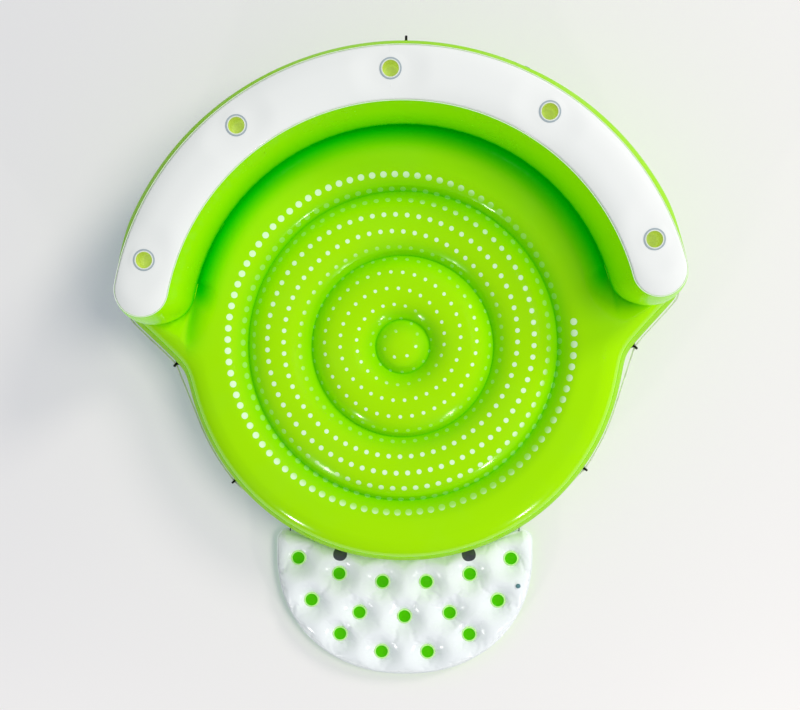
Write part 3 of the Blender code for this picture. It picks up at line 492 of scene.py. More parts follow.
@dataclass(frozen=True)
class Film:
    """Welded vinyl film: a body colour with random deeper patches, painted shade below given heights and a
    faint painted glow.
    """
    name: str
    colour: tuple[float, float, float]
    # second colour: for random deeper patches, and for the painted shade where a piece has it
    tone_and_shade_colour: tuple[float, float, float]
    roughness: float = 0.13
    specular: float = 0.42
    crumple_scale: float = 5.0
    crumple_depth: float = 0.0005
    # heights of the painted shade: full at the first, gone at the second; none where the second is 0
    foot_shade_heights: tuple[float, float] = (0.0, 0.0)
    # strength of a green emission: painted glow, though the film is no lamp
    painted_glow: float = 0.0

    def tint(self, desk: Desk, place: Socket) -> Socket:
        """The film's colour: its body colour, a little deeper in slow patches, and painted shade below the
        given heights.
        """
        depth = desk.step(desk.noise(place, 1.7, 2.0), 0.35, 0.75, 0.0, 0.06)
        colour = desk.mix(depth, linear(*self.colour), linear(*self.tone_and_shade_colour))
        # painted shade: below the given heights the colour goes to the second colour, darker further down
        if self.foot_shade_heights[1]:
            height = desk.put("ShaderNodeSeparateXYZ", {0: place}).outputs[2]
            colour = desk.mix(desk.step(height, *self.foot_shade_heights, 1.0, 0.0), colour, linear(*self.tone_and_shade_colour))
        return colour

    def material(self) -> bpy.types.Material:
        """Build the material."""
        material, desk = blank_material(self.name)
        place = desk.place()
        marks = desk.group(Groups.marks, Place=place)
        height = desk.group(Groups.crumple, Place=place, Scale=self.crumple_scale,
                            Depth=self.crumple_depth).outputs["Height"]
        bump = desk.bump(height)
        rough = desk.math("ADD", desk.math("MULTIPLY", marks.outputs["Smear"], 0.10), self.roughness)
        rough = desk.math("ADD", desk.math("MULTIPLY", marks.outputs["Specks"], 0.04), rough)
        # the emission is a painted glow, standing in for light shining through the film
        shader = desk.put("ShaderNodeBsdfPrincipled", {
            "Base Color": self.tint(desk, place), "Roughness": rough,
            "Normal": bump, "IOR": 1.5, "Specular IOR Level": self.specular,
            "Emission Color": (0.0, self.painted_glow, 0.0, 1.0), "Emission Strength": 1.0})
        desk.put("ShaderNodeOutputMaterial", {0: shader.outputs[0]})
        return material


@dataclass(frozen=True)
class PrintedFilm(Film):
    """The deck's film, with the dot spiral on it, weld lines and painted shade beside the welds and round the
    backrest's foot.

    The piece carries a UV map with its flat place in metres, and attributes that mask its weld lines and
    painted shade.
    """
    print: SpiralPrint = SpiralPrint()
    # colour of the painted shade in the grooves beside the welds
    groove_shade_colour: tuple[float, float, float] = (116, 208, 0)
    dot_colour: tuple[float, float, float] = (236, 249, 226)

    def tint(self, desk: Desk, place: Socket) -> Socket:
        """Body colour, painted shade beside the welds, then weld lines and painted shade at the backrest's
        foot, then dots dimmed by the painted shade.
        """
        body = super().tint(desk, place)
        film = desk.put("ShaderNodeUVMap", uv_map="film").outputs[0]
        fold = desk.put("ShaderNodeAttribute", attribute_name="fold").outputs["Fac"]
        squeeze = desk.put("ShaderNodeAttribute", attribute_name="squeeze").outputs["Fac"]
        dots = desk.group(self.print.group(), Film=film, Squeeze=squeeze).outputs["Mask"]
        groove_shade = desk.put("ShaderNodeAttribute", attribute_name="groove_shade").outputs["Fac"]
        # painted shade in the grooves: the dots fade and the body darkens beside the welds
        shown = desk.math("MULTIPLY", dots, desk.step(groove_shade, 0.05, 0.45, 0.94, 0.16))
        body = desk.mix(desk.math("MULTIPLY", groove_shade, 0.62), body, linear(*self.groove_shade_colour))
        # weld lines, partly painted shade at the groove's bottom, and painted shade round the backrest's foot
        # and on the shoulder creases
        folded = desk.mix(fold, body, linear(*self.tone_and_shade_colour))
        return desk.mix(shown, folded, linear(*self.dot_colour))


@dataclass(frozen=True)
class RoundelFilm(Film):
    """The mat's white film with two plain dark roundels beside the base."""
    centres: tuple[tuple[float, float], ...] = ()
    radius: float = 0.0375

    def tint(self, desk: Desk, place: Socket) -> Socket:
        """White, with a clean-edged dark disc at each centre."""
        colour = super().tint(desk, place)
        flat = desk.vector("MULTIPLY", place, (1.0, 1.0, 0.0)).outputs[0]
        for centre in self.centres:
            away = desk.vector("DISTANCE", flat, (*centre, 0.0)).outputs["Value"]
            disc = desk.step(away, self.radius - 0.0008, self.radius + 0.0008, 0.94, 0.0)
            colour = desk.mix(disc, colour, linear(38, 44, 52))
        return colour


@dataclass(frozen=True)
class Moulded:
    """Moulded plastic with a fine grain and paler worn patches."""
    name: str
    colour: tuple[float, float, float]
    worn: tuple[float, float, float]
    roughness: float = 0.38
    grain: float = 900.0
    depth: float = 0.00004
    coat: float = 0.0

    def material(self) -> bpy.types.Material:
        """Build the material."""
        material, desk = blank_material(self.name)
        place = desk.place()
        marks = desk.group(Groups.marks, Place=place)
        grain = desk.noise(place, self.grain, 2.0, 0.6)
        bump = desk.bump(desk.math("MULTIPLY", grain, self.depth))
        wear = desk.step(desk.noise(place, 60.0, 3.0, 0.6), 0.5, 0.8, 0.0, 0.6)
        shader = desk.put("ShaderNodeBsdfPrincipled", {
            "Base Color": desk.mix(wear, linear(*self.colour), linear(*self.worn)),
            "Roughness": desk.math("ADD", desk.math("MULTIPLY", marks.outputs["Smear"], 0.12),
                                   self.roughness),
            "Normal": bump, "Coat Weight": self.coat})
        desk.put("ShaderNodeOutputMaterial", {0: shader.outputs[0]})
        return material


@dataclass(frozen=True)
class CupFilm:
    """Cup plastic: a yellow-green wall with a painted glow, painted light that pales it towards its floor,
    painted shade under its lip, and a pale lip.
    """
    name: str
    top: float
    floor: float
    painted_glow: float = 0.26

    def material(self) -> bpy.types.Material:
        """Build the material; the colour follows the height in the cup."""
        material, desk = blank_material(self.name)
        place = desk.place()
        height = desk.put("ShaderNodeSeparateXYZ", {0: place}).outputs[2]
        # painted light: the wall pales towards the cup's floor
        wall = desk.mix(desk.step(height, self.floor, self.floor + 0.05), linear(206, 222, 122),
                        linear(190, 208, 84))
        shadow = desk.step(height, self.top - 0.020, self.top - 0.008)
        wall = desk.mix(desk.math("MULTIPLY", shadow, 0.5), wall, linear(150, 176, 50))
        lip = desk.step(height, self.top - 0.0045, self.top - 0.003)
        flow = desk.noise(place, 120.0, 2.0)
        bump = desk.bump(desk.math("MULTIPLY", flow, 0.0002))
        shader = desk.put("ShaderNodeBsdfPrincipled", {
            "Base Color": desk.mix(lip, wall, linear(238, 242, 236)),
            "Roughness": desk.step(flow, 0.3, 0.7, 0.22, 0.34),
            # the wall's emission is a painted glow
            "Emission Color": desk.mix(lip, wall, (0.0, 0.0, 0.0, 1.0)), "Emission Strength": self.painted_glow,
            "Normal": bump})
        desk.put("ShaderNodeOutputMaterial", {0: shader.outputs[0]})
        return material


@dataclass(frozen=True)
class Fibre:
    """Laid rope fibre: fine yarns along each strand, with a dull sheen."""
    name: str
    colour: tuple[float, float, float] = (238, 238, 232)
    shade: tuple[float, float, float] = (196, 196, 190)

    def material(self) -> bpy.types.Material:
        """Build the material."""
        material, desk = blank_material(self.name)
        place = desk.place()
        yarn = desk.noise(place, 1500.0, 2.0, 0.7)
        soil = desk.noise(place, 14.0, 3.0, 0.6)
        bump = desk.bump(desk.math("MULTIPLY", yarn, 0.00012))
        dirt = desk.step(soil, 0.45, 0.8, 0.0, 0.8)
        shader = desk.put("ShaderNodeBsdfPrincipled", {
            "Base Color": desk.mix(dirt, linear(*self.colour), linear(*self.shade)),
            "Roughness": desk.step(yarn, 0.3, 0.7, 0.68, 0.82), "Normal": bump,
            "Sheen Weight": 0.2})
        desk.put("ShaderNodeOutputMaterial", {0: shader.outputs[0]})
        return material


class Finish(Enum):
    """The finishes by the record's material slot."""
    GREEN = "green_film"
    WHITE = "white_film"
    CUP = "cup_film"
    RING = "ring_film"
    RUBBER = "black_rubber"
    ROPE = "rope_fibre"
    VALVE = "valve_plastic"


def dress(piece: bpy.types.Object, material: bpy.types.Material, finish: Finish, body: str,
          *nodes: str) -> bpy.types.Object:
    """Give a piece its material, the body that it rides on and the nodes that it stands for."""
    piece.data.materials.clear()
    piece.data.materials.append(material)
    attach(piece, body)
    if nodes:
        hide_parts(*nodes)
    log.info("%s: %d faces on %s", piece.name, len(piece.data.polygons), body)
    return piece


# Shapes that several pieces follow
def soft_min(first: float, second: float, width: float) -> float:
    """The lower of two values, rounded where they cross."""
    share = max(width - abs(first - second), 0.0) / width
    return min(first, second) - share * share * width / 4


def bow(share: float) -> float:
    """A full swell, 0 at 0 and 1, and 1 in the middle."""
    return math.sin(math.pi * min(max(share, 0.0), 1.0))


def ease(value: float, low: float, high: float) -> float:
    """A smooth step from 0 to 1 while the value goes from low to high."""
    share = min(max((value - low) / (high - low), 0.0), 1.0)
    return share * share * (3 - 2 * share)


def round_up(distance: float, reach: float, power: float) -> float:
    """A full rounded rise from 0 to 1 over a distance; a smaller power makes it steeper."""
    return (1 - (1 - min(max(distance, 0.0) / reach, 1.0)) ** 2) ** power


def stop_angle(share: float, steps: int) -> float:
    """The angle of a stop round the base; the last stop is the first."""
    return math.tau * (round(share * steps) % steps) / steps


def weld_fade(share: float, top: float, foot: float) -> float:
    """How strongly a wall puckers at a share of its height: most beside its two welds, not at all on them."""
    return math.exp(-share / top) * ease(share, 0.0, 0.03) \
        + math.exp(-(1 - share) / foot) * ease(1 - share, 0.0, 0.03)


def pressed_flat(place: Vector, valve: Matrix, back: Matrix) -> Vector:
    """Press a wall's point into the plane of a valve's flange, near the valve.

    Args:
        place: The point.
        valve: The valve's frame.
        back: The inverse of that frame.

    Returns:
        The point, moved only where it is near the valve.
    """
    local = back @ place
    hold_flat = 1 - ease(math.hypot(local.x, local.y), *FLAT_REACH)
    if hold_flat > 0 and abs(local.z) < FLAT_DEPTH:
        local.z *= 1 - hold_flat
        place = valve @ local
    return place


def ripple(place: float, seed: float) -> float:
    """Uneven waves along a line, from -1 to 1, the same each run."""
    return (math.sin(place + seed) * 0.5 + math.sin(place * 1.73 + seed * 2.1) * 0.3
            + math.sin(place * 2.91 + seed * 0.7) * 0.2)


@dataclass
class Outline:
    """The base's widest line, seen from above, and the places that follow from it."""
    front: float = 1.145
    shoulder: float = 0.8797
    slope: float = math.radians(45)
    shoulder_fillet: float = 0.04
    corner_fillet: float = 0.03
    back: float = 1.45
    back_centre: float = 0.02
    seam_inset: float = 0.05
    seam_height: float = 0.33
    bottom_height: float = 0.03

    def radius(self, angle: float) -> float:
        """Distance from the middle to the line, at an angle from +X."""
        folded = math.atan2(math.sin(angle), abs(math.cos(angle)))
        lean = self.slope - folded
        side = self.shoulder if lean > QUARTER else self.shoulder / math.sin(max(lean, 0.05))
        across = self.back ** 2 - (self.back_centre * math.cos(folded)) ** 2
        back = self.back_centre * math.sin(folded) + math.sqrt(across)
        outer = (self.front + side + math.hypot(self.front - side, self.shoulder_fillet)) / 2
        return (outer + back - math.hypot(outer - back, self.corner_fillet)) / 2

    def point(self, angle: float, inset: float = 0.0) -> tuple[Vector, Vector]:
        """A plan point on the line or inside it, and the line's outward normal there."""
        def spot(a: float) -> Vector:
            return Vector((math.cos(a), math.sin(a))) * self.radius(a)
        along = spot(angle + 0.002) - spot(angle - 0.002)
        normal = Vector((along.y, -along.x)).normalized()
        return spot(angle) - normal * inset, normal

    def seam(self, angle: float) -> Vector:
        """A plan point on the seam, on the straight run between two of the stops that all sheets share."""
        share = angle * SEAM_STEPS / math.tau
        low = math.floor(share + TINY)
        first, last = (self.point(math.tau * i / SEAM_STEPS, self.seam_inset)[0] for i in (low, low + 1))
        return first.lerp(last, share - low)

    def depth(self, place: Vector) -> float:
        """How far inside the line a plan point lies."""
        angle = math.atan2(place.y, place.x)
        spot, normal = self.point(angle)
        return (spot - place).dot(normal)

    def wall(self, share: float) -> tuple[float, float]:
        """Inset and height of the side wall, from its top weld to its bottom weld."""
        drop = (self.bottom_height - self.seam_height) * share
        return self.seam_inset * (1 - bow(share)), self.seam_height + drop


@dataclass
class Crescent:
    """The backrest's plan and section."""
    centre: Vector = field(default_factory=lambda: Vector((0.0, 0.02)))
    well: float = 1.085
    foot_width: float = 0.29
    top_inner: float = 1.10
    top_outer: float = 1.345
    foot: float = 0.3653
    top: float = 0.78
    inner_bulge: float = 0.02
    outer_bulge: float = 0.06
    end_bulge: float = 0.042
    shoulder_bulge: float = 0.066
    well_depth: float = 0.034
    start: float = math.radians(13.5)

    def section(self, share: float, angle: float = 0.0) -> tuple[float, float, float]:
        """Inner radius, outer radius and height at a share of the height; the bulge fades to the ends."""
        swell = bow(share)
        inner = self.well + (self.top_inner - self.well) * share - self.inner_bulge * swell
        foot_outer = self.well + self.foot_width
        outer = foot_outer + (self.top_outer - foot_outer) * share
        away = math.degrees(min(angle, math.pi - angle))
        full = self.shoulder_bulge + (self.outer_bulge - self.shoulder_bulge) * ease(away, 40.0, 75.0)
        outer += (self.end_bulge + (full - self.end_bulge) * ease(away, 13.5, 27.0)) * swell
        return inner, outer, self.foot + (self.top - self.foot) * share

    def foot_level(self, place: Vector) -> float:
        """Height at which the backrest meets the deck: lower in the well than round its ends."""
        radius = (Vector((place.x, place.y)) - self.centre).length
        return self.foot - self.well_depth * (1 - ease(radius, 1.10, 1.19))

    def arc(self, angle: float, radius: float) -> Vector:
        """A plan point on an arc about the crescent's centre."""
        return self.centre + Vector((math.cos(angle), math.sin(angle))) * radius

    def end(self, turn: float, inner: float, outer: float, side: int) -> Vector:
        """A plan point on a rounded end, at a turn from 0 at its outer side to pi at its inner side."""
        half = (outer - inner) / 2
        middle = self.arc(self.start, inner + half)
        angle = self.start - turn
        spot = middle + Vector((math.cos(angle), math.sin(angle))) * half
        return Vector((side * spot.x, spot.y))

    def clearance(self, place: Vector) -> float:
        """Distance of a plan point outside the foot's outline, negative inside it."""
        spot = Vector((abs(place.x), place.y)) - self.centre
        inner, outer, _ = self.section(0.0)
        if math.atan2(spot.y, spot.x) >= self.start:
            return max(inner - spot.length, spot.length - outer)
        middle = Vector((math.cos(self.start), math.sin(self.start))) * (inner + outer) / 2
        return (spot - middle).length - (outer - inner) / 2


OUTLINE = Outline()
CRESCENT = Crescent()


@dataclass
class Deck:
    """The round deck sheet: a centre pad, two blown rings and a wide outer ring that ends at the rim."""
    welds: tuple[float, ...] = (0.138, 0.462, 0.787)
    middle: Vector = field(default_factory=lambda: Vector((-0.004, -0.015)))
    fullness: float = 2.7
    crown_at: float = 0.9325
    rim_width: float = 0.15
    rim_shape: tuple[float, float] = (2.4, 0.65)
    foot: float = 0.365
    foot_width: float = 0.1525
    foot_shape: float = 0.72
    blends: tuple[float, float, float] = (0.005, 0.006, 0.004)
    ring_rows: tuple[int, int, int] = (12, 24, 24)
    outer_rows: int = 64
    columns: int = SEAM_STEPS
    crease_line: float = 1.089
    crease_end: float = 4.0
    crease_longer: float = 6.5
    crease_full: float = 16.0
    crease_last: float = 19.0
    crease_soft: float = 0.016
    pucker: float = 0.0016
    pucker_wave: float = 0.0115
    pucker_off: float = 0.018
    pucker_reach: float = 0.016

    def __post_init__(self) -> None:
        """Read the heights from the frame."""
        self.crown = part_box("deck_sheet")[1].z
        self.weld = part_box("web_middle")[1].z + FILM_THICKNESS + 0.0003
        self.pad_crown = self.weld + 0.045

    def ring(self, radius: float) -> float:
        """Height of the rings' profile at a radius: full crowns that fall ever steeper to the welds."""
        edges = (0.0, *self.welds)
        rise = self.crown - self.weld
        if radius <= self.welds[0]:
            half, rise, middle = self.welds[0], self.pad_crown - self.weld, 0.0
        elif radius >= self.welds[-1]:
            half, middle = self.crown_at - self.welds[-1], max(radius, self.crown_at)
        else:
            i = 2 if radius > self.welds[1] else 1
            half = (edges[i + 1] - edges[i]) / 2
            middle = (edges[i + 1] + edges[i]) / 2
        off = min(abs(radius - middle) / half, 1.0)
        return self.weld + rise * (1 - off ** self.fullness)

    def height(self, place: Vector) -> float:
        """Height of the deck at a plan point: rings, rim, the backrest's foot and the shoulder creases."""
        radius = (place - self.middle).length
        if radius <= self.welds[-1]:
            return self.ring(radius)
        inside = min(max((OUTLINE.depth(place) - OUTLINE.seam_inset) / self.rim_width, 0.0), 1.0)
        rise = (1 - (1 - inside) ** self.rim_shape[0]) ** self.rim_shape[1]
        rim = OUTLINE.seam_height + (self.crown - OUTLINE.seam_height) * rise
        low = CRESCENT.foot_level(place)
        away = min(max(CRESCENT.clearance(place) / self.foot_width, 0.0), 1.0)
        foot = low + (self.crown - low) * (1 - (1 - away) ** 2) ** self.foot_shape
        level = soft_min(self.ring(radius), soft_min(rim, foot, self.blends[0]), self.blends[1])
        return soft_min(level, self.crease(place), self.blends[2])

    def crease(self, place: Vector) -> float:
        """Height of the shoulder's crease: a soft valley that carries the well's wall line to the rim."""
        angle = math.degrees(math.atan2(place.y, abs(place.x)))
        fade = ease(angle, self.crease_stop(place), self.crease_full)
        if fade <= 0 or angle > self.crease_last:
            return 1.0
        low = self.crown + (self.foot - CRESCENT.well_depth - self.crown) * fade
        line = self.crease_line
        off = place.length - line
        soft = math.sqrt(off * off + self.crease_soft ** 2) - self.crease_soft
        if off < 0:
            share = min(soft / (line - self.crown_at), 1.0)
            return low + (self.crown + 0.004 - low) * (1 - (1 - share) ** 2) ** 0.9
        return low + 0.75 * soft + 0.2 * ease(off, 0.06, 0.2)

    def crease_stop(self, place: Vector) -> float:
        """The angle at which the crease runs out; it is longer on the left."""
        return self.crease_end if place.x > 0 else self.crease_end - self.crease_longer

    def stations(self) -> list[tuple[float, float]]:
        """Radial stops, as a radius for the rings and a share of the way to the seam beyond them."""
        stops: list[tuple[float, float]] = []
        edges = (0.0, *self.welds)
        for start, end, count in zip(edges, edges[1:], self.ring_rows):
            for i in range(count):
                share = i / count
                share = share - math.sin(math.tau * share) * 0.09 if start else share ** 0.9
                stops.append((start + (end - start) * share, -1.0))
        stops.extend((self.welds[-1], i / self.outer_rows) for i in range(self.outer_rows + 1))
        return stops

    def measure_film(self) -> None:
        """Lay the profile out flat, so that prints can follow the film."""
        self.flat_radii = np.linspace(0.0, 1.45, 2901)
        heights = np.array([self.ring(r) for r in self.flat_radii])
        steps = np.hypot(np.diff(self.flat_radii), np.diff(heights))
        self.flat_lengths = np.concatenate([[0.0], np.cumsum(steps)])

    def build(self, finish: PrintedFilm) -> None:
        """Build the deck's skin."""
        stops = self.stations()
        rows = len(stops) - 1

        def shape(u: float, v: float) -> Vector:
            angle = stop_angle(u, self.columns)
            radius, share = stops[round(v * rows)]
            place = self.middle + Vector((math.cos(angle), math.sin(angle))) * radius
            if share > 0:
                place = place.lerp(OUTLINE.point(angle, OUTLINE.seam_inset)[0], share)
            level = self.height(place)
            away = (place - self.middle).length
            near = min(abs(away - w) for w in self.welds)
            waves = ripple(angle * away / self.pucker_wave, round(away * 3))
            level += self.pucker * waves * math.exp(-((near - self.pucker_off) / self.pucker_reach) ** 2)
            return Vector((*place, level))

        piece = sheet_grid("deck_skin", self.columns, rows, shape, lambda p: Vector((0, 0, 1)))
        self.map_film(piece)
        make_film(piece, 75)
        dress(piece, finish.material(), Finish.GREEN, "hull", "deck_sheet")

    def painted_foot_shade(self, place: Vector) -> float:
        """How much painted shade a plan point has: a wide band round the well's foot, a line on a crease, a
        thin line at the wall's foot.
        """
        clear = max(CRESCENT.clearance(place), 0.0)
        angle = math.degrees(math.atan2(place.y, abs(place.x)))
        beyond = (place - CRESCENT.centre).length - CRESCENT.well
        band = (1 - ease(clear, 0.025, 0.165)) * ease(angle, 9.0, 17.0) * (1 - ease(beyond, 0.0, 0.05))
        off = place.length - self.crease_line
        reach = 0.06 if off < 0 and place.x < 0 else 0.011
        stop = self.crease_stop(place)
        line = 0.5 * math.exp(-(off / reach) ** 2) \
            * ease(angle, stop - 1.0, stop + 8.0) * (1 - ease(angle, 18.0, 24.0))
        return max(band, line, 0.45 * math.exp(-(clear / 0.009) ** 2))

    def map_film(self, piece: bpy.types.Object) -> None:
        """Write the film's flat place as a UV map, and as attributes its weld lines, its painted shade and
        its squeeze.
        """
        mesh = piece.data
        places = np.zeros(len(mesh.vertices) * 3)
        mesh.vertices.foreach_get("co", places)
        places = places.reshape(-1, 3)
        middle = np.array(self.middle[:])
        plan = places[:, :2] - middle
        radii = np.hypot(*plan.T)
        flat = np.interp(radii, self.flat_radii, self.flat_lengths)
        ratio = flat / np.maximum(radii, 1e-5)
        ratio[radii < 1e-4] = 1.0
        layer = mesh.uv_layers[0]
        layer.name = "film"
        corners = np.zeros(len(mesh.loops), int)
        mesh.loops.foreach_get("vertex_index", corners)
        layer.data.foreach_set("uv", (plan * ratio[:, None] + middle)[corners].ravel())
        near = np.min([np.abs(radii - w) for w in self.welds], axis=0)
        # weld lines, partly painted shade at the groove's bottom; then a wide mask of painted shade beside
        # each weld
        fold = np.exp(-(near / 0.0035) ** 2) * 0.4
        groove_shade = np.exp(-(near / 0.052) ** 2)
        # add the painted shade round the backrest's foot and on the shoulder creases
        for i, place in enumerate(places):
            if radii[i] > 0.85:
                fold[i] = max(fold[i], self.painted_foot_shade(Vector(place[:2])))
        for name, values in (("fold", fold), ("groove_shade", groove_shade), ("squeeze", 1.0 / ratio)):
            attribute = mesh.attributes.new(name, "FLOAT", "POINT")
            attribute.data.foreach_set("value", values.astype(np.float32))


@dataclass
class SideWall:
    """The base's side wall and bottom, with puckers where they are welded."""
    columns: int = 2 * SEAM_STEPS
    rows: int = 26
    bottom_rows: int = 60
    girth: float = 1.25
    pucker: float = 0.0035
    pucker_wave: float = 0.0125
    pucker_reach: float = 0.11

    def point(self, angle: float, share: float) -> Vector:
        """A point of the wall, with the puckers of its welds."""
        inset, height = OUTLINE.wall(share)
        if share in (0.0, 1.0):
            return Vector((*OUTLINE.seam(angle), height))
        place, normal = OUTLINE.point(angle, inset)
        fade = weld_fade(share, self.pucker_reach, self.pucker_reach)
        swell = ripple(angle * self.girth / self.pucker_wave, 2.0) * fade * self.pucker
        return Vector((*(place + normal * swell), height))

    def build(self, film: bpy.types.Material, valve: Matrix, valve_hole: float) -> None:
        """Build the wall's skin, flat under the valve and open at its barrel."""
        back = valve.inverted()

        def shape(u: float, v: float) -> Vector:
            return pressed_flat(self.point(stop_angle(u, self.columns), v), valve, back)

        piece = sheet_grid("side_skin", self.columns, self.rows, shape,
                           lambda p: Vector((p.x, p.y, 0.0)))
        make_film(piece)
        drilled(piece, valve, valve_hole)
        dress(piece, film, Finish.GREEN, "hull", "hull_side_wall")

    def build_bottom(self, film: bpy.types.Material, deck: Deck) -> None:
        """Build the bottom's skin, drawn up at its welds."""
        def shape(u: float, v: float) -> Vector:
            edge = OUTLINE.seam(stop_angle(u, SEAM_STEPS))
            place = edge * v
            inside = OUTLINE.depth(place) if v > 0.7 else 1.0
            level = OUTLINE.bottom_height * (1 - ease(inside, 0.05, 0.13)) if v > 0.7 else 0.0
            near = min(abs((place - deck.middle).length - w) for w in deck.welds)
            return Vector((*place, level + 0.025 * (1 - ease(near, 0.003, 0.055)) + 0.0002))

        piece = sheet_grid("bottom_skin", SEAM_STEPS, self.bottom_rows, shape, lambda p: Vector((0, 0, -1)))
        make_film(piece)
        dress(piece, film, Finish.GREEN, "hull", "hull_bottom_sheet")


@dataclass
class Backrest:
    """The crescent backrest: inner wall with rounded ends, outer wall and white top panel."""
    rows: int = 26
    arc_steps: int = 260
    end_steps: int = 44
    outer_steps: int = 340
    top_rows: int = 28
    tip_steps: int = 20
    cup_hole: float = 0.04
    puff: float = 0.009
    pucker: float = 0.0022
    pucker_wave: float = 0.0125

    def cups(self) -> list[Vector]:
        """Plan centres of the five cups, read from the frame."""
        spots = []
        for i in range(1, 6):
            low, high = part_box(f"cup_ring_{i}")
            spots.append(Vector(((low.x + high.x) / 2, (low.y + high.y) / 2)))
        return spots

    def swell(self, share: float, run: float, seed: float) -> float:
        """Puckers beside the top and foot welds of a wall."""
        return ripple(run / self.pucker_wave, seed) * weld_fade(share, 0.09, 0.10) * self.pucker

    def inner_point(self, run: float, share: float) -> Vector:
        """A point of the inner wall: run 0 to 1 is the right end, 1 to 2 the arc and 2 to 3 the left end."""
        inner, outer, height = CRESCENT.section(share)
        span = math.pi - 2 * CRESCENT.start
        end = math.pi * CRESCENT.foot_width / 2
        if run <= 1:
            spot = CRESCENT.end(math.pi * run, inner, outer, 1)
            middle = CRESCENT.arc(CRESCENT.start, (inner + outer) / 2)
            normal = (spot - middle).normalized()
            length = run * end
        elif run >= 2:
            spot = CRESCENT.end(math.pi * (3 - run), inner, outer, -1)
            middle = CRESCENT.arc(math.pi - CRESCENT.start, (inner + outer) / 2)
            normal = (spot - middle).normalized()
            length = end + span * CRESCENT.well + (run - 2) * end
        else:
            spot = CRESCENT.arc(CRESCENT.start + span * (run - 1), inner)
            normal = (CRESCENT.centre - spot).normalized()
            length = end + (run - 1) * span * CRESCENT.well
        low = CRESCENT.foot_level(spot)
        height += (low - CRESCENT.foot) * (1 - share) ** 2
        return Vector((*(spot + normal * self.swell(share, length, 1.0)), height))

    def build(self, green: bpy.types.Material, wall: bpy.types.Material, white: bpy.types.Material,
              valve: Matrix, valve_hole: float) -> None:
        """Build the three skins of the backrest."""
        total = self.arc_steps + 2 * self.end_steps

        def inner(u: float, v: float) -> Vector:
            step = u * total
            if step <= self.end_steps:
                return self.inner_point(step / self.end_steps, v)
            if step >= total - self.end_steps:
                return self.inner_point(3 - (total - step) / self.end_steps, v)
            return self.inner_point(1 + (step - self.end_steps) / self.arc_steps, v)

        def inward(place: Vector) -> Vector:
            return Vector((-place.x, -place.y, 0.0))

        piece = sheet_grid("backrest_inner_skin", total, self.rows, inner, inward)
        make_film(piece)
        dress(piece, green, Finish.GREEN, "hull", "backrest_inner_wall", "backrest_end_right",
              "backrest_end_left")

        back = valve.inverted()
        span = math.pi - 2 * CRESCENT.start

        def outer(u: float, v: float) -> Vector:
            angle = CRESCENT.start + span * u
            _, radius, height = CRESCENT.section(v, angle)
            place = Vector((*CRESCENT.arc(angle, radius + self.swell(v, angle * radius, 4.0)), height))
            return pressed_flat(place, valve, back)

        piece = sheet_grid("backrest_outer_skin", self.outer_steps, self.rows, outer,
                           lambda p: Vector((p.x, p.y, 0)))
        make_film(piece)
        drilled(piece, valve, valve_hole)
        dress(piece, wall, Finish.GREEN, "hull", "backrest_outer_wall_right",
              "backrest_outer_wall_middle", "backrest_outer_wall_left")
        self.build_top(white)

    def top_point(self, run: float, share: float, cups: Sequence[Vector]) -> Vector:
        """A point of the top panel: run from the right tip to the left tip, share from inside to outside."""
        inner, outer, height = CRESCENT.section(1.0)
        half = (outer - inner) / 2
        span = math.pi - 2 * CRESCENT.start
        side = 1 if run < 1.5 else -1
        fold = run if run < 1.5 else 3 - run
        lean = 2 * share - 1
        if fold < 1:
            turn = QUARTER * (1 - fold)
            middle = CRESCENT.arc(CRESCENT.start, inner + half)
            spoke = Vector((math.cos(CRESCENT.start), math.sin(CRESCENT.start)))
            down = Vector((spoke.y, -spoke.x))
            spot = middle + down * (math.sin(turn) * half) + spoke * (math.cos(turn) * half * lean)
            spot = Vector((side * spot.x, spot.y))
            edge = math.hypot(math.sin(turn), math.cos(turn) * lean)
        else:
            angle = CRESCENT.start + span * (run - 1)
            spot = CRESCENT.arc(angle, inner + half + half * lean)
            edge = abs(lean)
        level = PANEL_CROWN * (1 - edge ** PANEL_DOME)
        away = min((spot - cup).length for cup in cups)
        level += self.puff * (1 - edge ** PANEL_DOME) * ease(away, 0.075, 0.20)
        level = PANEL_CROWN + (level - PANEL_CROWN) * ease(away, 0.050, 0.078)
        level += 0.0012 * ripple((spot.x + spot.y) / 0.03, 3.0) * edge ** 6 * (1 - edge)
        return Vector((*spot, height + level))

    def build_top(self, white: bpy.types.Material) -> None:
        """Build the white panel with its five holes."""
        cups = self.cups()
        tip = self.tip_steps
        steps = self.arc_steps + 2 * tip

        def shape(u: float, v: float) -> Vector:
            step = u * steps
            if step <= tip:
                run = step / tip
            elif step >= steps - tip:
                run = 3 - (steps - step) / tip
            else:
                run = 1 + (step - tip) / self.arc_steps
            return self.top_point(run, v, cups)

        piece = sheet_grid("backrest_top_skin", steps, self.top_rows, shape, lambda p: Vector((0, 0, 1)))
        make_film(piece)
        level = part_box("cup_ring_1")[1].z
        for cup in cups:
            drilled(piece, Matrix.Translation((*cup, level)), self.cup_hole)
        dress(piece, white, Finish.WHITE, "hull", *(f"backrest_top_panel_{i}" for i in range(1, 6)))


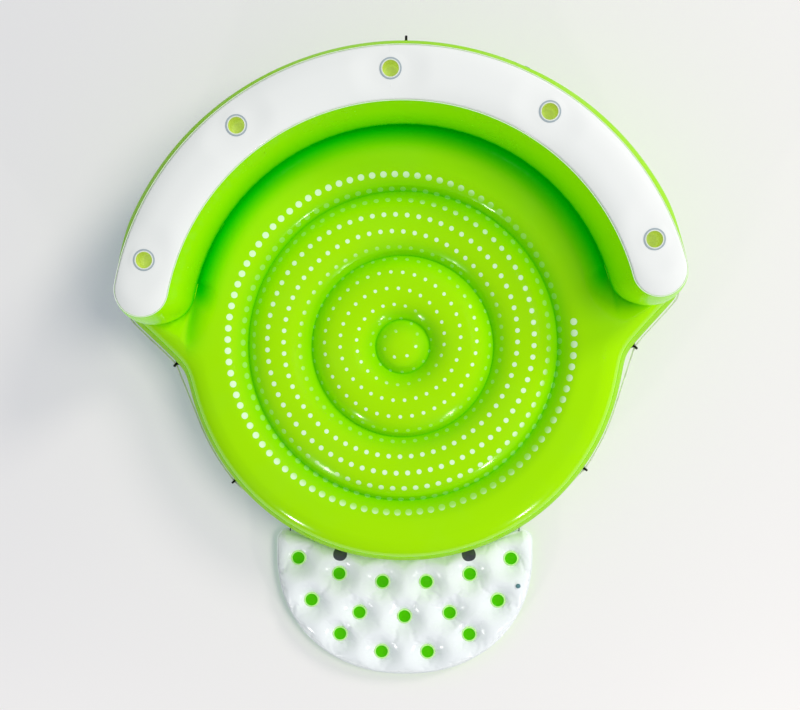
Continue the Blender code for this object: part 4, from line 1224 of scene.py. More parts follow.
@dataclass
class Welds:
    """The flat welded beads at the film's seams."""
    width: float = 0.0065
    height: float = 0.0022

    def build(self, green: bpy.types.Material, white: bpy.types.Material) -> None:
        """Build every bead."""
        up = Vector((0, 0, 1))
        turns = [math.tau * i / SEAM_STEPS for i in range(SEAM_STEPS)]
        for name, height in (("weld_deck_edge", OUTLINE.seam_height),
                             ("weld_bottom_edge", OUTLINE.bottom_height)):
            spots = [OUTLINE.point(a, OUTLINE.seam_inset - 0.001) for a in turns]
            path = [Vector((*p, height)) for p, _ in spots]
            rises = [up for _ in spots]
            bead = band(name, path, rises, self.width * 0.6, self.height * 0.35)
            dress(bead, green, Finish.GREEN, "hull")
        for name, share, material, finish, push in (
                ("weld_backrest_foot", 0.0, green, Finish.GREEN, 0.001),
                ("weld_panel_edge", 1.0, white, Finish.WHITE, 0.003)):
            path, rises = [], []
            for spot, normal in self.crescent_line(share):
                height = CRESCENT.section(share)[2] if share else CRESCENT.foot_level(spot)
                path.append(Vector((*(spot + normal * push), height + 0.0004)))
                rises.append(up)
            bead = band(name, path, rises, self.width * 0.45, self.height * 0.45)
            dress(bead, material, finish, "hull")

    def panel_seam(self, white: bpy.types.Material, cup: float, reach: float) -> None:
        """The faint weld across the panel's middle, on both sides of the middle cup."""
        inner, outer, height = CRESCENT.section(1.0)
        level = height + PANEL_CROWN + 0.0002
        for name, start, end in (("weld_panel_inner", CRESCENT.centre.y + inner + 0.004, cup - reach),
                                 ("weld_panel_outer", cup + reach, CRESCENT.centre.y + outer - 0.004)):
            path = []
            for i in range(13):
                y = start + (end - start) * i / 12
                lean = (y - CRESCENT.centre.y - (inner + outer) / 2) * 2 / (outer - inner)
                path.append(Vector((0.0, y, level - PANEL_CROWN * abs(lean) ** PANEL_DOME)))
            bead = band(name, path, [Vector((0, 0, 1))] * 13, 0.003, 0.001, closed=False)
            dress(bead, white, Finish.WHITE, "hull")

    def crescent_line(self, share: float) -> list[tuple[Vector, Vector]]:
        """The backrest's outline at a share of its height, with its outward normals."""
        inner, outer, _ = CRESCENT.section(share)
        span = math.pi - 2 * CRESCENT.start
        line: list[tuple[Vector, Vector]] = []
        for side in (1, -1):
            middle = CRESCENT.arc(CRESCENT.start if side > 0 else math.pi - CRESCENT.start,
                                  (inner + outer) / 2)
            turns = [math.pi * i / 40 for i in range(41)]
            ends = [CRESCENT.end(t, inner, outer, side) for t in turns]
            if side > 0:
                line += [(p, (p - middle).normalized()) for p in ends]
                for i in range(1, 200):
                    spot = CRESCENT.arc(CRESCENT.start + span * i / 200, inner)
                    line.append((spot, (CRESCENT.centre - spot).normalized()))
            else:
                line += [(p, (p - middle).normalized()) for p in reversed(ends)]
        for i in range(1, 220):
            spot = CRESCENT.arc(math.pi - CRESCENT.start - span * i / 220, outer)
            line.append((spot, (spot - CRESCENT.centre).normalized()))
        return line


@dataclass
class CupSet:
    """The five cups let into the top panel, each with its welded ring."""
    bore: float = 0.038
    wall: float = 0.001
    floor_radius: float = 0.033

    def build(self) -> None:
        """Model one cup and one ring, and copy them to their five places."""
        low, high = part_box("cup_holder_1")
        ring_low, ring_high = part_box("cup_ring_1")
        lip = (high.x - low.x) / 2
        reach = (ring_high.x - ring_low.x) / 2 + 0.0014
        top, floor = high.z, low.z
        cup = turned("cup_liner", [
            (0.0, floor), (self.floor_radius - 0.004, floor), (self.floor_radius, floor + 0.003),
            (self.bore + self.wall, top - 0.0026), (lip - 0.0008, top - 0.0026), (lip, top - 0.0016),
            (lip - 0.0006, top - 0.0004), (lip - 0.0016, top), (self.bore + 0.0004, top - 0.0003),
            (self.bore - 0.0002, top - 0.0022), (self.floor_radius + 0.0006, floor + 0.012),
            (self.floor_radius - 0.0004, floor + 0.0045), (self.floor_radius - 0.005, floor + 0.0016),
            (0.012, floor + 0.0016), (0.010, floor + 0.0024), (0.0, floor + 0.0024)], 64)
        ring = self.collar(lip - 0.0007, reach, ring_low.z, ring_high.z)
        plastic = CupFilm("cup_plastic", top, floor).material()
        collar = Moulded("cup_collar_vinyl", (172, 186, 193), (190, 202, 207), 0.36, 700.0).material()
        for i in range(1, 6):
            low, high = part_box(f"cup_ring_{i}")
            place = Matrix.Translation(((low.x + high.x) / 2, (low.y + high.y) / 2, 0.0))
            dress(copied(f"cup_liner_{i}", cup, place), plastic, Finish.CUP, "hull", f"cup_holder_{i}")
            dress(copied(f"cup_collar_{i}", ring, place), collar, Finish.RING, "hull", f"cup_ring_{i}")
        discard(cup, ring)

    def collar(self, inner: float, outer: float, low: float, high: float) -> bpy.types.Object:
        """A flat welded ring with a fine sunk groove near its outer edge."""
        inner = max(inner, 0.0405)
        middle = (inner + outer) / 2
        return turned("cup_collar", [
            (inner, low), (outer, low), (outer, high - 0.0004), (outer - 0.0006, high),
            (outer - 0.0022, high), (outer - 0.0026, high - 0.0003), (middle + 0.0016, high - 0.0003),
            (middle + 0.0012, high), (inner + 0.0006, high), (inner, high - 0.0004)], 64)


def node_points(name: str) -> np.ndarray:
    """The points of a CAD node."""
    mesh = frame["nodes"][name].data
    places = np.zeros(len(mesh.vertices) * 3)
    mesh.vertices.foreach_get("co", places)
    return places.reshape(-1, 3)


@dataclass
class Eyelets:
    """Black moulded eyelets that carry the grab rope, and one for mooring."""
    pad: float = 0.018
    ring: float = 0.012
    wire: float = 0.0035

    def build(self, rubber: bpy.types.Material) -> None:
        """Model one eyelet and copy it to its ten places."""
        stand = 0.0025 - 0.0018 + self.wire + self.ring
        pad = turned("eyelet", [
            (0.0, 0.0), (self.pad, 0.0), (self.pad, 0.0009), (self.pad - 0.0008, 0.0016),
            (self.pad * 0.78, 0.0023), (self.pad * 0.66, 0.0040), (self.pad * 0.58, 0.0064),
            (self.pad * 0.46, 0.0073), (0.0, 0.0074)], 40)
        deselect()
        bpy.ops.mesh.primitive_torus_add(major_radius=self.ring, minor_radius=self.wire,
                                         major_segments=28, minor_segments=12, location=(0, 0, 0))
        ring = bpy.context.active_object
        ring.data.transform(Matrix.Translation((0, 0, stand)) @ Matrix.Rotation(QUARTER, 4, "Y")
                            @ Matrix.Diagonal((1.0, 1.0, 1.7, 1.0)))
        shade(ring, 80)
        model = joined("eyelet", [pad, ring])
        names = [f"rope_eyelet_{i}" for i in range(1, 10)] + ["mooring_eyelet"]
        for name in names:
            label = name.replace("rope_eyelet", "eyelet_ring").replace("mooring_eyelet", "mooring_ring")
            twin = copied(label, model, self.seat(name))
            dress(twin, rubber, Finish.RUBBER, "hull", name)
        discard(model)

    def seat(self, name: str) -> Matrix:
        """The frame of an eyelet's foot, read from its node."""
        places = node_points(name)
        middle = (places.min(0) + places.max(0)) / 2
        angle = math.atan2(middle[1], middle[0])
        if name == "mooring_eyelet":
            normal = Vector((math.cos(math.radians(87)), math.sin(math.radians(87)), 0.0))
        else:
            normal = Vector((*OUTLINE.point(angle)[1], 0.0))
        along = Vector((-normal.y, normal.x, 0.0))
        outs = places @ np.array(normal)
        sides = places @ np.array(along)
        base = outs.min()
        side = (sides.min() + sides.max()) / 2
        spot = normal * base + along * side + Vector((0, 0, middle[2]))
        frame_axes = Matrix((along, normal.cross(along), normal)).transposed().to_4x4()
        frame_axes.translation = spot
        return frame_axes


@dataclass
class Valves:
    """Plug valves: a flanged barrel in the film and a cap that swings on its strap."""
    flange: float = 0.024
    bore: float = 0.009
    cap: float = 0.0165
    small: float = 0.52
    seat: float = 0.0003
    flange_height: float = 0.0025

    def size(self, name: str) -> float:
        """A valve's size as a share of the large one's."""
        return self.small if name == "mat_valve" else 1.0

    def frame_of(self, name: str) -> Matrix:
        """A valve's frame: Z out of the film, Y towards its hinge, at the film."""
        joint = next(j for j in frame["joints"] if j["name"] == f"{name}_open")
        places = node_points(f"{name}_body")
        middle = (places.min(0) + places.max(0)) / 2
        spread, axes = np.linalg.eigh(np.cov((places - middle).T))
        gaps = [abs(spread[1] - spread[2]), abs(spread[0] - spread[2]), abs(spread[0] - spread[1])]
        normal = Vector(axes[:, int(np.argmin(gaps))])
        hinge = Vector(joint["pos_m"])
        if (hinge - Vector(middle)).dot(normal) < 0:
            normal = -normal
        outs = places @ np.array(normal)
        centre = Vector(places.mean(0))
        base = outs.max() - self.seat - self.flange_height * self.size(name)
        centre += normal * (base - centre.dot(normal))
        upward = (hinge - centre) - normal * (hinge - centre).dot(normal)
        upward.normalize()
        result = Matrix((upward.cross(normal), upward, normal)).transposed().to_4x4()
        result.translation = centre
        log.info("%s frame: centre %s, normal %s", name, centre[:], normal[:])
        return result

    def build(self, plastic: bpy.types.Material) -> None:
        """Build the three valves."""
        for name, body in (("hull_valve", "hull"), ("backrest_valve", "hull"),
                           ("mat_valve", "boarding_mat")):
            place = self.frame_of(name)
            size = self.size(name)
            shell = self.barrel(f"{name}_stem", size)
            shell.data.transform(place)
            dress(shell, plastic, Finish.VALVE, body, f"{name}_body")
            lid = self.lid(f"{name}_lid", size)
            lid.data.transform(place)
            dress(lid, plastic, Finish.VALVE, f"{name}_lid", f"{name}_cap")

    def barrel(self, name: str, size: float) -> bpy.types.Object:
        """The flange with its stepped edge and the barrel through the film."""
        outer = self.bore + 0.002
        profile = [(self.flange, 0.0009), (self.flange - 0.0006, 0.0014), (self.flange * 0.86, 0.0019),
                   (self.flange * 0.82, 0.0025), (self.bore + 0.0008, 0.0025), (self.bore, 0.0019),
                   (self.bore, -0.0214), (self.bore + 0.0005, -0.022), (outer - 0.0004, -0.022),
                   (outer, -0.0214), (outer, 0.0), (self.flange, 0.0)]
        return turned(name, [(r * size, self.seat + z * size) for r, z in profile], 48)

    def lid(self, name: str, size: float) -> bpy.types.Object:
        """The cap with a rim, a finger tab, its pin and the strap to the hinge."""
        low = self.seat + self.flange_height * size + self.seat
        thick = 0.004 * size
        radius = self.cap * size
        pin = (self.bore - 0.0012) * size
        cap = turned(name, [
            (0.0, low + thick * 0.72), (radius * 0.55, low + thick * 0.72), (radius * 0.62, low + thick),
            (radius * 0.86, low + thick), (radius * 0.97, low + thick * 0.8), (radius, low + thick * 0.5),
            (radius, low), (pin, low), (pin, low - 0.0046 * size), (pin * 0.85, low - 0.005 * size),
            (0.0, low - 0.005 * size)], 48)
        hinge = self.flange * size + 0.0006
        start = radius * 0.8
        deselect()
        bpy.ops.mesh.primitive_cube_add(size=1.0, location=(0, 0, 0))
        strap = bpy.context.active_object
        strap.data.transform(Matrix.Translation((0, (start + hinge) / 2, low + thick * 0.2))
                             @ Matrix.Diagonal((0.010 * size, hinge - start, thick * 0.4, 1)))
        finish_with(strap, "BEVEL", width=0.0007 * size, segments=3, limit_method="ANGLE")
        shade(strap)
        return joined(name, [cap, strap])


@dataclass
class Rope:
    """A laid three-strand grab rope through the eyelets, with a stopper knot at each end."""
    lay: float = 0.034
    step: float = 0.0034
    strand: float = 0.0026
    strand_off: float = 0.0024
    offset: float = 0.0165
    level: float = 0.1772
    eyelets: tuple[float, float] = (-37.0, -2.7)
    tail_level: float = 0.065
    tail_y: float = -1.0
    tail_x: float = 0.630626
    knot_x: float = 0.607374
    knot_radius: float = 0.013
    soften: int = 5
    front_steps: int = 12
    side_steps: int = 120
    tail_steps: int = 12

    def beside(self, degrees: float) -> Vector:
        """A point beside the base's wall, at an angle from +X."""
        spot, normal = OUTLINE.point(math.radians(degrees))
        return Vector((*(spot + normal * self.offset), self.level))

    def right_side(self) -> list[Vector]:
        """The rope from the first eyelet to the middle of the back, on the right."""
        front = OUTLINE.front + self.offset
        shoulder = self.beside(self.eyelets[1])
        reach = math.hypot(shoulder.x, shoulder.y)
        touch = math.degrees(math.atan2(shoulder.y, shoulder.x) - math.acos(front / reach))
        line = []
        for i in range(self.front_steps):
            turn = math.radians(self.eyelets[0] + (touch - self.eyelets[0]) * i / self.front_steps)
            line.append(Vector((front * math.cos(turn), front * math.sin(turn), self.level)))
        line += [self.beside(self.eyelets[1] + (90 - self.eyelets[1]) * i / self.side_steps)
                 for i in range(self.side_steps + 1)]
        return line

    def tail(self, side: int, hook: Vector, turn: Matrix) -> list[Vector]:
        """The rope from its knot through the mat's tab and on towards the first eyelet."""
        start = turn @ Vector((side * self.knot_x, self.tail_y, self.tail_level))
        outer = turn @ Vector((side * self.tail_x, self.tail_y, self.tail_level))
        line = [start, outer]
        for i in range(1, self.tail_steps):
            share = i / self.tail_steps
            spot = outer.lerp(hook, share)
            spot.z = self.tail_level + (self.level - self.tail_level) * ease(share, 0.0, 1.0)
            line.append(spot)
        return line

    def route(self, turn: Matrix) -> list[Vector]:
        """The rope's middle line from the mat's right tab round the base to the left tab."""
        right = self.right_side()
        left = [Vector((-p.x, p.y, p.z)) for p in reversed(right[:-1])]
        corners = self.tail(1, right[0], turn) + right + left
        corners += reversed(self.tail(-1, left[-1], turn))
        runs = np.array([c[:] for c in corners])
        along = np.concatenate([[0.0], np.cumsum(np.linalg.norm(np.diff(runs, axis=0), axis=1))])
        stops = np.linspace(0.0, along[-1], int(along[-1] / self.step))
        path = np.stack([np.interp(stops, along, runs[:, k]) for k in range(3)], axis=1)
        for _ in range(self.soften):
            path[1:-1] = (path[:-2] + path[1:-1] * 2 + path[2:]) / 4
        log.info("rope length %.3f m", along[-1])
        return [Vector(p) for p in path]

    def build(self, fibre: bpy.types.Material, turn: Matrix) -> None:
        """Lay the three strands and tie the knots."""
        path = self.route(turn)
        frames = []
        for i, place in enumerate(path):
            run = (path[min(i + 1, len(path) - 1)] - path[max(i - 1, 0)]).normalized()
            side = run.cross(Vector((0, 0, 1))).normalized()
            frames.append((place, side, side.cross(run)))
        strands = []
        for k in range(3):
            strand = []
            for i, (place, side, rise) in enumerate(frames):
                twist = math.tau * (i * self.step / self.lay + k / 3)
                strand.append(place + (side * math.cos(twist) + rise * math.sin(twist)) * self.strand_off)
            strands.append(strand)
        dress(tube("laid_rope", strands, self.strand), fibre, Finish.ROPE, "hull", "grab_rope")
        for name, side in (("right", 1), ("left", -1)):
            place = turn @ Matrix.Translation((side * self.knot_x, self.tail_y, self.tail_level))
            self.knot(f"stopper_knot_{name}", place, fibre, f"rope_knot_{name}")

    def knot(self, name: str, place: Matrix, fibre: bpy.types.Material, node: str) -> None:
        """An overhand stopper knot: the rope laced through its own loop."""
        thick = self.knot_radius * 0.36
        size = (self.knot_radius - thick) / 3
        loop = []
        for i in range(84):
            t = math.tau * i / 84
            spot = Vector((-math.sin(3 * t) * 1.5, math.sin(t) + 2 * math.sin(2 * t),
                           math.cos(t) - 2 * math.cos(2 * t)))
            loop.append(place @ (spot * size))
        dress(tube(name, [loop], thick, closed=True, sides=3), fibre, Finish.ROPE, "hull", node)


@dataclass
class Tabs:
    """The black tabs on the mat's near corners: a grommet for the rope and an arm on the mat's flange."""
    x: float = 0.62
    y: float = -1.0
    level: float = 0.065
    hole: float = 0.008
    outer: float = 0.014
    thick: float = 0.004
    arm_end: float = -1.0221
    arm_height: float = 0.007

    def build(self, rubber: bpy.types.Material, turn: Matrix) -> None:
        """Model both tabs."""
        half = self.thick / 2
        for name, side in (("right", 1), ("left", -1)):
            ring = turned(f"tab_{name}", [
                (self.hole, -half + 0.0008), (self.hole + 0.0008, -half), (self.outer - 0.0008, -half),
                (self.outer, -half + 0.0008), (self.outer, half - 0.0008), (self.outer - 0.0008, half),
                (self.hole + 0.0008, half), (self.hole, half - 0.0008)], 40)
            ring.data.transform(Matrix.Translation((side * self.x, self.y, self.level))
                                @ Matrix.Rotation(QUARTER, 4, "Y"))
            start = self.y - self.hole - 0.001
            deselect()
            bpy.ops.mesh.primitive_cube_add(size=1.0, location=(0, 0, 0))
            arm = bpy.context.active_object
            arm.data.transform(Matrix.Translation((side * self.x, (start + self.arm_end) / 2,
                                                   self.level + 0.0003 + self.arm_height / 2))
                               @ Matrix.Diagonal((self.thick, start - self.arm_end, self.arm_height, 1)))
            finish_with(arm, "BEVEL", width=0.0008, segments=3, limit_method="ANGLE")
            shade(arm)
            tab = joined(f"tab_{name}", [ring, arm])
            tab.data.transform(turn)
            dress(tab, rubber, Finish.RUBBER, "boarding_mat", f"mat_tab_{name}")


@dataclass
class Webs:
    """The round webs inside the base that hold the deck's grooves down, each with two air holes."""
    hole: float = 0.02
    slack: float = 0.0015
    rows: int = 12
    sides: int = 96

    def build(self, film: bpy.types.Material, deck: Deck) -> None:
        """Model the three webs, drawn in a little between their welds."""
        for name, radius in zip(("inner", "middle", "outer"), deck.welds):
            low, high = (corner.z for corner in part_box(f"web_{name}"))
            levels = [low + (high - low) * i / self.rows for i in range(self.rows + 1)]
            outside = [(radius - self.slack * bow(i / self.rows), z) for i, z in enumerate(levels)]
            inside = [(r - FILM_THICKNESS, z) for r, z in reversed(outside)]
            web = turned(f"web_{name}_film", outside + inside, self.sides)
            for turn in (QUARTER, -QUARTER):
                place = Matrix.Rotation(turn, 4, "Z") @ Matrix.Translation((radius, 0, (low + high) / 2))
                drilled(web, place @ Matrix.Rotation(QUARTER, 4, "Y"), self.hole)
            web.data.transform(Matrix.Translation((*deck.middle, 0.0)))
            dress(web, film, Finish.WHITE, "hull", f"web_{name}")


@dataclass
class Mat:
    """The boarding mat: a blown pad between a white top sheet and a green bottom sheet."""
    turn: Matrix = field(default_factory=lambda: Matrix.Rotation(math.radians(-2.1), 4, "Z"))
    half: float = 0.694
    depth: float = 0.658
    roundness: float = 2.15
    near: float = 1.15
    bowed: float = 0.14
    corner: float = 0.06
    thickness: float = 0.125
    seam: float = 0.065
    flange: float = 0.008
    disc: float = 0.033
    weld: float = 0.0085
    slack: float = 0.018
    pressure: float = 6.0
    stiffness: float = 0.08
    disc_height: float = 0.07
    swell_width: float = 0.10
    grid: tuple[int, int] = (220, 120)
    frames: int = 24
    rows: tuple[tuple[float, tuple[float, ...]], ...] = (
        (0.153, (0.119, 0.354, 0.576)), (0.337, (0.0, 0.245, 0.506)), (0.473, (0.351,)), (0.536, (0.125,)))

    def tufts(self) -> list[Vector]:
        """Plan centres of the tufts in the mat's own frame."""
        places = []
        for distance, spots in self.rows:
            reach = self.near + distance
            for x in spots:
                for side in ((1, -1) if x else (1,)):
                    places.append(Vector((side * x, -math.sqrt(reach * reach - x * x))))
        return places

    def near_edge(self, x: float) -> float:
        """The near edge's Y at a distance across."""
        edge = self.half - self.corner
        off = abs(x)
        if off <= edge:
            return -(self.near - self.bowed * (off / edge) ** 2)
        lean = min((off - edge) / self.corner, 1.0)
        return -(self.near - self.bowed + self.corner - self.corner * math.sqrt(1 - lean * lean))

    def front_edge(self, x: float) -> float:
        """The front edge's Y at a distance across."""
        share = min(abs(x) / self.half, 1.0)
        turn = math.acos(min(share ** (self.roundness / 2), 1.0))
        return -(self.near + self.depth * math.sin(turn) ** (2 / self.roundness))

    def build(self, white: bpy.types.Material, green: bpy.types.Material, disc: bpy.types.Material,
              rim: bpy.types.Material) -> None:
        """Build both sheets and the fifteen weld discs."""
        tufts = self.tufts()
        top = self.sheet("mat_top_skin", tufts, self.thickness - self.seam, 0.10, self.seam)
        self.inflate(top, tufts)
        self.skin(top)
        dress(top, white, Finish.WHITE, "boarding_mat", "mat_top_sheet")
        bottom = self.sheet("mat_bottom_skin", tufts, -(self.seam - 0.004), 0.05, self.seam - 0.0015)
        flip(bottom)
        self.skin(bottom)
        dress(bottom, green, Finish.GREEN, "boarding_mat", "mat_bottom_sheet")
        self.tuft_discs(tufts, disc, rim)

    def border(self) -> np.ndarray:
        """Points along the mat's outline."""
        spots = []
        across = self.grid[0]
        for i in range(across + 1):
            x = self.half * math.sin(QUARTER * (2 * i / across - 1))
            spots += [(x, self.near_edge(x)), (x, self.front_edge(x))]
        low, high = self.front_edge(self.half), self.near_edge(self.half)
        for i in range(9):
            y = low + (high - low) * i / 8
            spots += [(self.half, y), (-self.half, y)]
        return np.array(spots)

    def sheet(self, name: str, tufts: Sequence[Vector], high: float, hollow: float,
              base: float) -> bpy.types.Object:
        """A blown sheet that is drawn in at its edge and at its tufts, in the mat's own frame.

        Args:
            name: The piece's name.
            tufts: Plan centres of the tufts.
            high: The full rise, negative for the bottom.
            hollow: The share of it that is left at the tufts.
            base: The edge's height.

        Returns:
            The single sheet, which faces up.
        """
        border = self.border()
        marks = np.array([t[:] for t in tufts])

        def shape(u: float, v: float) -> Vector:
            x = self.half * math.sin(QUARTER * (2 * u - 1))
            near, front = self.near_edge(x), self.front_edge(x)
            here = np.array((x, near + (front - near) * v))
            inside = float(np.min(np.hypot(*(border - here).T)))
            if v in (0.0, 1.0) or u in (0.0, 1.0):
                inside = 0.0
            close = float(np.hypot(*(marks - here).T).min()) - self.disc - self.weld
            swell = round_up(inside - self.flange, self.swell_width, 0.6)
            dimple = round_up(close, self.swell_width, 0.75)
            return Vector((*here, base + high * swell * (hollow + (1 - hollow) * dimple)))

        return sheet_grid(name, *self.grid, shape, lambda p: Vector((0, 0, 1)))

    def inflate(self, piece: bpy.types.Object, tufts: Sequence[Vector]) -> None:
        """Blow the sheet up as cloth, held at its edge and tufts, and bring it back to the mat's height."""
        border = self.border()
        marks = np.array([t[:] for t in tufts])
        held = piece.vertex_groups.new(name="held")
        for vertex in piece.data.vertices:
            here = np.array(vertex.co[:2])
            if np.min(np.hypot(*(border - here).T)) < self.flange \
                    or np.min(np.hypot(*(marks - here).T)) < self.disc + self.weld:
                held.add([vertex.index], 1.0, "REPLACE")
        hold(piece)
        cloth = piece.modifiers.new("blown", "CLOTH")
        settings = cloth.settings
        settings.quality = 6
        settings.mass = 0.15
        settings.air_damping = 3.0
        settings.tension_stiffness = settings.compression_stiffness = 25.0
        settings.shear_stiffness = 12.0
        settings.bending_stiffness = self.stiffness
        settings.shrink_min = -self.slack
        settings.vertex_group_mass = held.name
        settings.use_pressure = True
        settings.uniform_pressure_force = self.pressure
        settings.effector_weights.gravity = 0.0
        cloth.collision_settings.use_collision = False
        cloth.point_cache.frame_start, cloth.point_cache.frame_end = 1, self.frames
        for frame_number in range(1, self.frames + 1):
            bpy.context.scene.frame_set(frame_number)
        bpy.ops.object.modifier_apply(modifier=cloth.name)
        bpy.context.scene.frame_set(1)
        top = max(v.co.z for v in piece.data.vertices) - self.seam
        log.info("mat blown to %.4f m over its seam", top)
        for vertex in piece.data.vertices:
            if vertex.co.z > self.seam:
                vertex.co.z = self.seam + (vertex.co.z - self.seam) * (self.thickness - self.seam) / top

    def skin(self, piece: bpy.types.Object) -> None:
        """Turn a sheet to the mat's place and give it its thickness."""
        piece.data.transform(self.turn)
        make_film(piece, 80)

    def tuft_discs(self, tufts: Sequence[Vector], disc: bpy.types.Material, rim: bpy.types.Material) -> None:
        """Model one weld disc and its rim, and copy both to every tuft."""
        dish = [(self.disc * i / 8, 0.0042 * (i / 8) ** 3 - 0.0002) for i in range(8, -1, -1)]
        plate = turned("tuft", [(0.0, -0.0018), (self.disc, -0.0018)] + dish, 40)
        outer = self.disc + self.weld
        collar = turned("tuft_rim", [
            (self.disc - 0.0008, -0.0016), (outer, -0.0016), (outer - 0.0006, 0.0020),
            (outer - 0.0026, 0.0044), (self.disc + 0.0030, 0.0055), (self.disc + 0.0006, 0.0050),
            (self.disc - 0.0008, 0.0030)], 40)
        for i, spot in enumerate(tufts, 1):
            place = self.turn @ Matrix.Translation((*spot, self.disc_height + 0.0016))
            dress(copied(f"tuft_disc_{i:02d}", plate, place), disc, Finish.GREEN, "boarding_mat")
            dress(copied(f"tuft_rim_{i:02d}", collar, place), rim, Finish.WHITE, "boarding_mat")
        discard(plate, collar)


@dataclass(frozen=True)
class Lamp:
    """A round lamp that looks at the float's middle.

    Its direction is in degrees, from +X and above the floor; glossy says whether gloss shows it.
    """
    name: str
    azimuth: float
    elevation: float
    distance: float
    size: float
    energy: float
    glossy: bool = False

    def hang(self, colour: tuple[float, float, float]) -> None:
        """Hang the lamp."""
        lamp = bpy.data.lights.new(self.name, "AREA")
        lamp.shape = "DISK"
        lamp.size = self.size
        lamp.energy = self.energy
        lamp.color = colour
        holder = bpy.data.objects.new(self.name, lamp)
        turn, rise = math.radians(self.azimuth), math.radians(self.elevation)
        away = Vector((math.cos(turn) * math.cos(rise), math.sin(turn) * math.cos(rise), math.sin(rise)))
        holder.location = Vector((0.0, 0.0, 0.35)) + away * self.distance
        holder.rotation_euler = (-away).to_track_quat("-Z", "Y").to_euler()
        holder.visible_glossy = self.glossy
        bpy.context.scene.collection.objects.link(holder)


@dataclass
class Studio:
    """Pale floor, two lamps from the right, two low ones in front, a cool sky and the overhead camera."""
    camera_place: tuple[float, float, float] = (0.083, 0.102, 4.85)
    camera_turn: tuple[float, float, float] = (-0.036, 0.021, -0.039)
    focal_pixels: float = 888.5
    frame_pixels: float = 800.0
    sensor: float = 36.0
    paper_share: float = 0.22
    lit_paper: tuple[float, float, float, float] = (1.0, 0.955, 0.83, 1.0)
    shaded_paper: tuple[float, float, float, float] = (0.50, 0.55, 1.0, 1.0)
    warm: tuple[float, float, float] = (1.0, 0.965, 0.945)
    sky: tuple[float, float, float, float] = (0.84, 0.92, 0.94, 1.0)
    sky_level: float = 0.44
    sky_in_gloss: float = 0.03
    lamps: tuple[Lamp, ...] = (
        Lamp("key", 12.0, 58.0, 20.0, 8.0, 1620.0), Lamp("low_key", 36.0, 34.0, 20.0, 5.0, 1190.0),
        Lamp("front_right", -58.0, 16.0, 6.0, 0.39, 40.0, glossy=True),
        Lamp("front_left", -124.0, 16.0, 6.0, 0.39, 40.0, glossy=True))

    def build(self) -> None:
        """Set the whole stage."""
        self.place_camera()
        self.lay_floor()
        self.light()
        scene = bpy.context.scene
        scene.view_settings.view_transform = "Standard"

    def place_camera(self) -> None:
        """Put the camera where the photograph was taken."""
        lens = bpy.data.cameras.new("overhead")
        lens.sensor_width = self.sensor
        lens.lens = self.focal_pixels * self.sensor / self.frame_pixels
        camera = bpy.data.objects.new("overhead", lens)
        camera.location = self.camera_place
        camera.rotation_euler = self.camera_turn
        bpy.context.scene.collection.objects.link(camera)
        bpy.context.scene.camera = camera

    def lay_floor(self) -> None:
        """A large pale floor, part of whose tone the camera sees as plain paper."""
        deselect()
        bpy.ops.mesh.primitive_grid_add(x_subdivisions=4, y_subdivisions=4, size=40.0, location=(0, 0, 0))
        floor = bpy.context.active_object
        floor.name = "floor"
        floor.data.transform(Matrix.Translation((0, 0, -0.0008)))
        material, desk = blank_material("floor_paper")
        path = desk.put("ShaderNodeLightPath")
        seen = desk.math("MAXIMUM", path.outputs["Is Camera Ray"], path.outputs["Is Glossy Ray"])
        seen = desk.math("MAXIMUM", seen, path.outputs["Is Transmission Ray"])
        tone = desk.step(desk.noise(desk.place(), 0.8, 1.0), 0.3, 0.7)
        paper = desk.mix(tone, linear(243, 243, 240), linear(244, 244, 241))
        shader = desk.put("ShaderNodeBsdfPrincipled", {
            "Base Color": desk.mix(seen, paper, self.lit_paper), "Roughness": 0.8, "Specular IOR Level": 0.1})
        plain = desk.put("ShaderNodeEmission", {"Color": self.shaded_paper, "Strength": 1.0})
        both = desk.put("ShaderNodeMixShader", {0: desk.math("MULTIPLY", seen, self.paper_share),
                                                1: shader.outputs[0], 2: plain.outputs[0]})
        desk.put("ShaderNodeOutputMaterial", {0: both.outputs[0]})
        floor.data.materials.clear()
        floor.data.materials.append(material)

    def light(self) -> None:
        """Hang the lamps and set the world's fill."""
        for lamp in self.lamps:
            lamp.hang(self.warm)
        world = bpy.context.scene.world or bpy.data.worlds.new("sky")
        bpy.context.scene.world = world
        world.use_nodes = True
        world.node_tree.nodes.clear()
        desk = Desk(world.node_tree)
        path = desk.put("ShaderNodeLightPath")
        level = desk.put("ShaderNodeMapRange", {
            "Value": path.outputs["Is Glossy Ray"], "To Min": self.sky_level,
            "To Max": self.sky_in_gloss}).outputs[0]
        back = desk.put("ShaderNodeBackground", {"Color": self.sky, "Strength": level})
        desk.put("ShaderNodeOutputWorld", {0: back.outputs[0]})


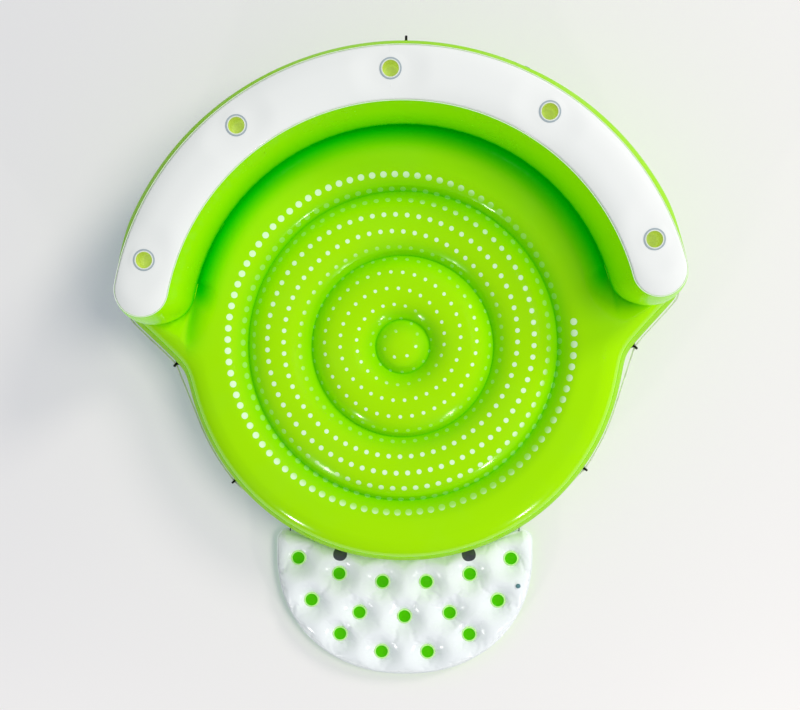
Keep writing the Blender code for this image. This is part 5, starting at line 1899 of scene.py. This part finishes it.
def main() -> None:
    """Build the lounge piece by piece."""
    logging.basicConfig(level=logging.INFO, format="%(name)s %(message)s")
    Groups.build()
    # this film carries a faint emission: painted glow
    green = Film("green_vinyl", (170, 226, 0), (140, 213, 0), painted_glow=0.12).material()
    # the inner wall: painted shade towards its foot, below 0.445 m, and a painted glow
    inner = Film("backrest_vinyl", (172, 228, 0), (10, 200, 0), roughness=0.2, foot_shade_heights=(0.335, 0.445),
                 painted_glow=0.12).material()
    wall = Film("wall_vinyl", (160, 228, 0), (134, 210, 0), roughness=0.45, specular=0.07).material()
    white = Film("white_vinyl", (247, 248, 247), (236, 242, 239), crumple_depth=0.0004).material()
    rubber = Moulded("eyelet_rubber", (16, 16, 17), (34, 34, 36), 0.5, 1200.0).material()
    plastic = Moulded("valve_vinyl", (96, 140, 150), (140, 176, 182), 0.30, 500.0, coat=0.2).material()
    rope = Fibre("rope_yarn").material()
    deck = Deck()
    deck.measure_film()
    # the deck's second colour is its painted shade at the welds and round the backrest's foot; it also has a
    # painted glow
    deck.build(PrintedFilm("printed_vinyl", (172, 228, 0), (0, 196, 0), painted_glow=0.08))
    valves = Valves()
    hole = valves.bore + 0.002 + 0.0005
    side = SideWall()
    side.build(wall, valves.frame_of("hull_valve"), hole)
    side.build_bottom(wall, deck)
    Backrest().build(inner, wall, white, valves.frame_of("backrest_valve"), hole)
    welds = Welds()
    welds.build(green, white)
    low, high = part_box("cup_ring_3")
    welds.panel_seam(white, (low.y + high.y) / 2, (high.y - low.y) / 2 + 0.003)
    CupSet().build()
    Eyelets().build(rubber)
    valves.build(plastic)
    mat = Mat()
    turn = mat.turn
    spots = [(turn @ Vector((x, -1.142, 0.0)))[:2] for x in (0.347, -0.347)]
    top = RoundelFilm("mat_vinyl", (243, 247, 250), (230, 238, 240), roughness=0.2, specular=0.45,
                      crumple_scale=7.0, crumple_depth=0.0008, centres=tuple(spots)).material()
    disc = Film("tuft_vinyl", (78, 200, 0), (40, 160, 0)).material()
    # the tuft rims carry a painted glow
    rim = Film("tuft_weld", (206, 244, 160), (190, 236, 140), roughness=0.3, painted_glow=0.10).material()
    mat.build(top, green, disc, rim)
    Webs().build(white, deck)
    Tabs().build(rubber, turn)
    Rope().build(rope, turn)
    Studio().build()


if __name__ == "__main__":
    main()
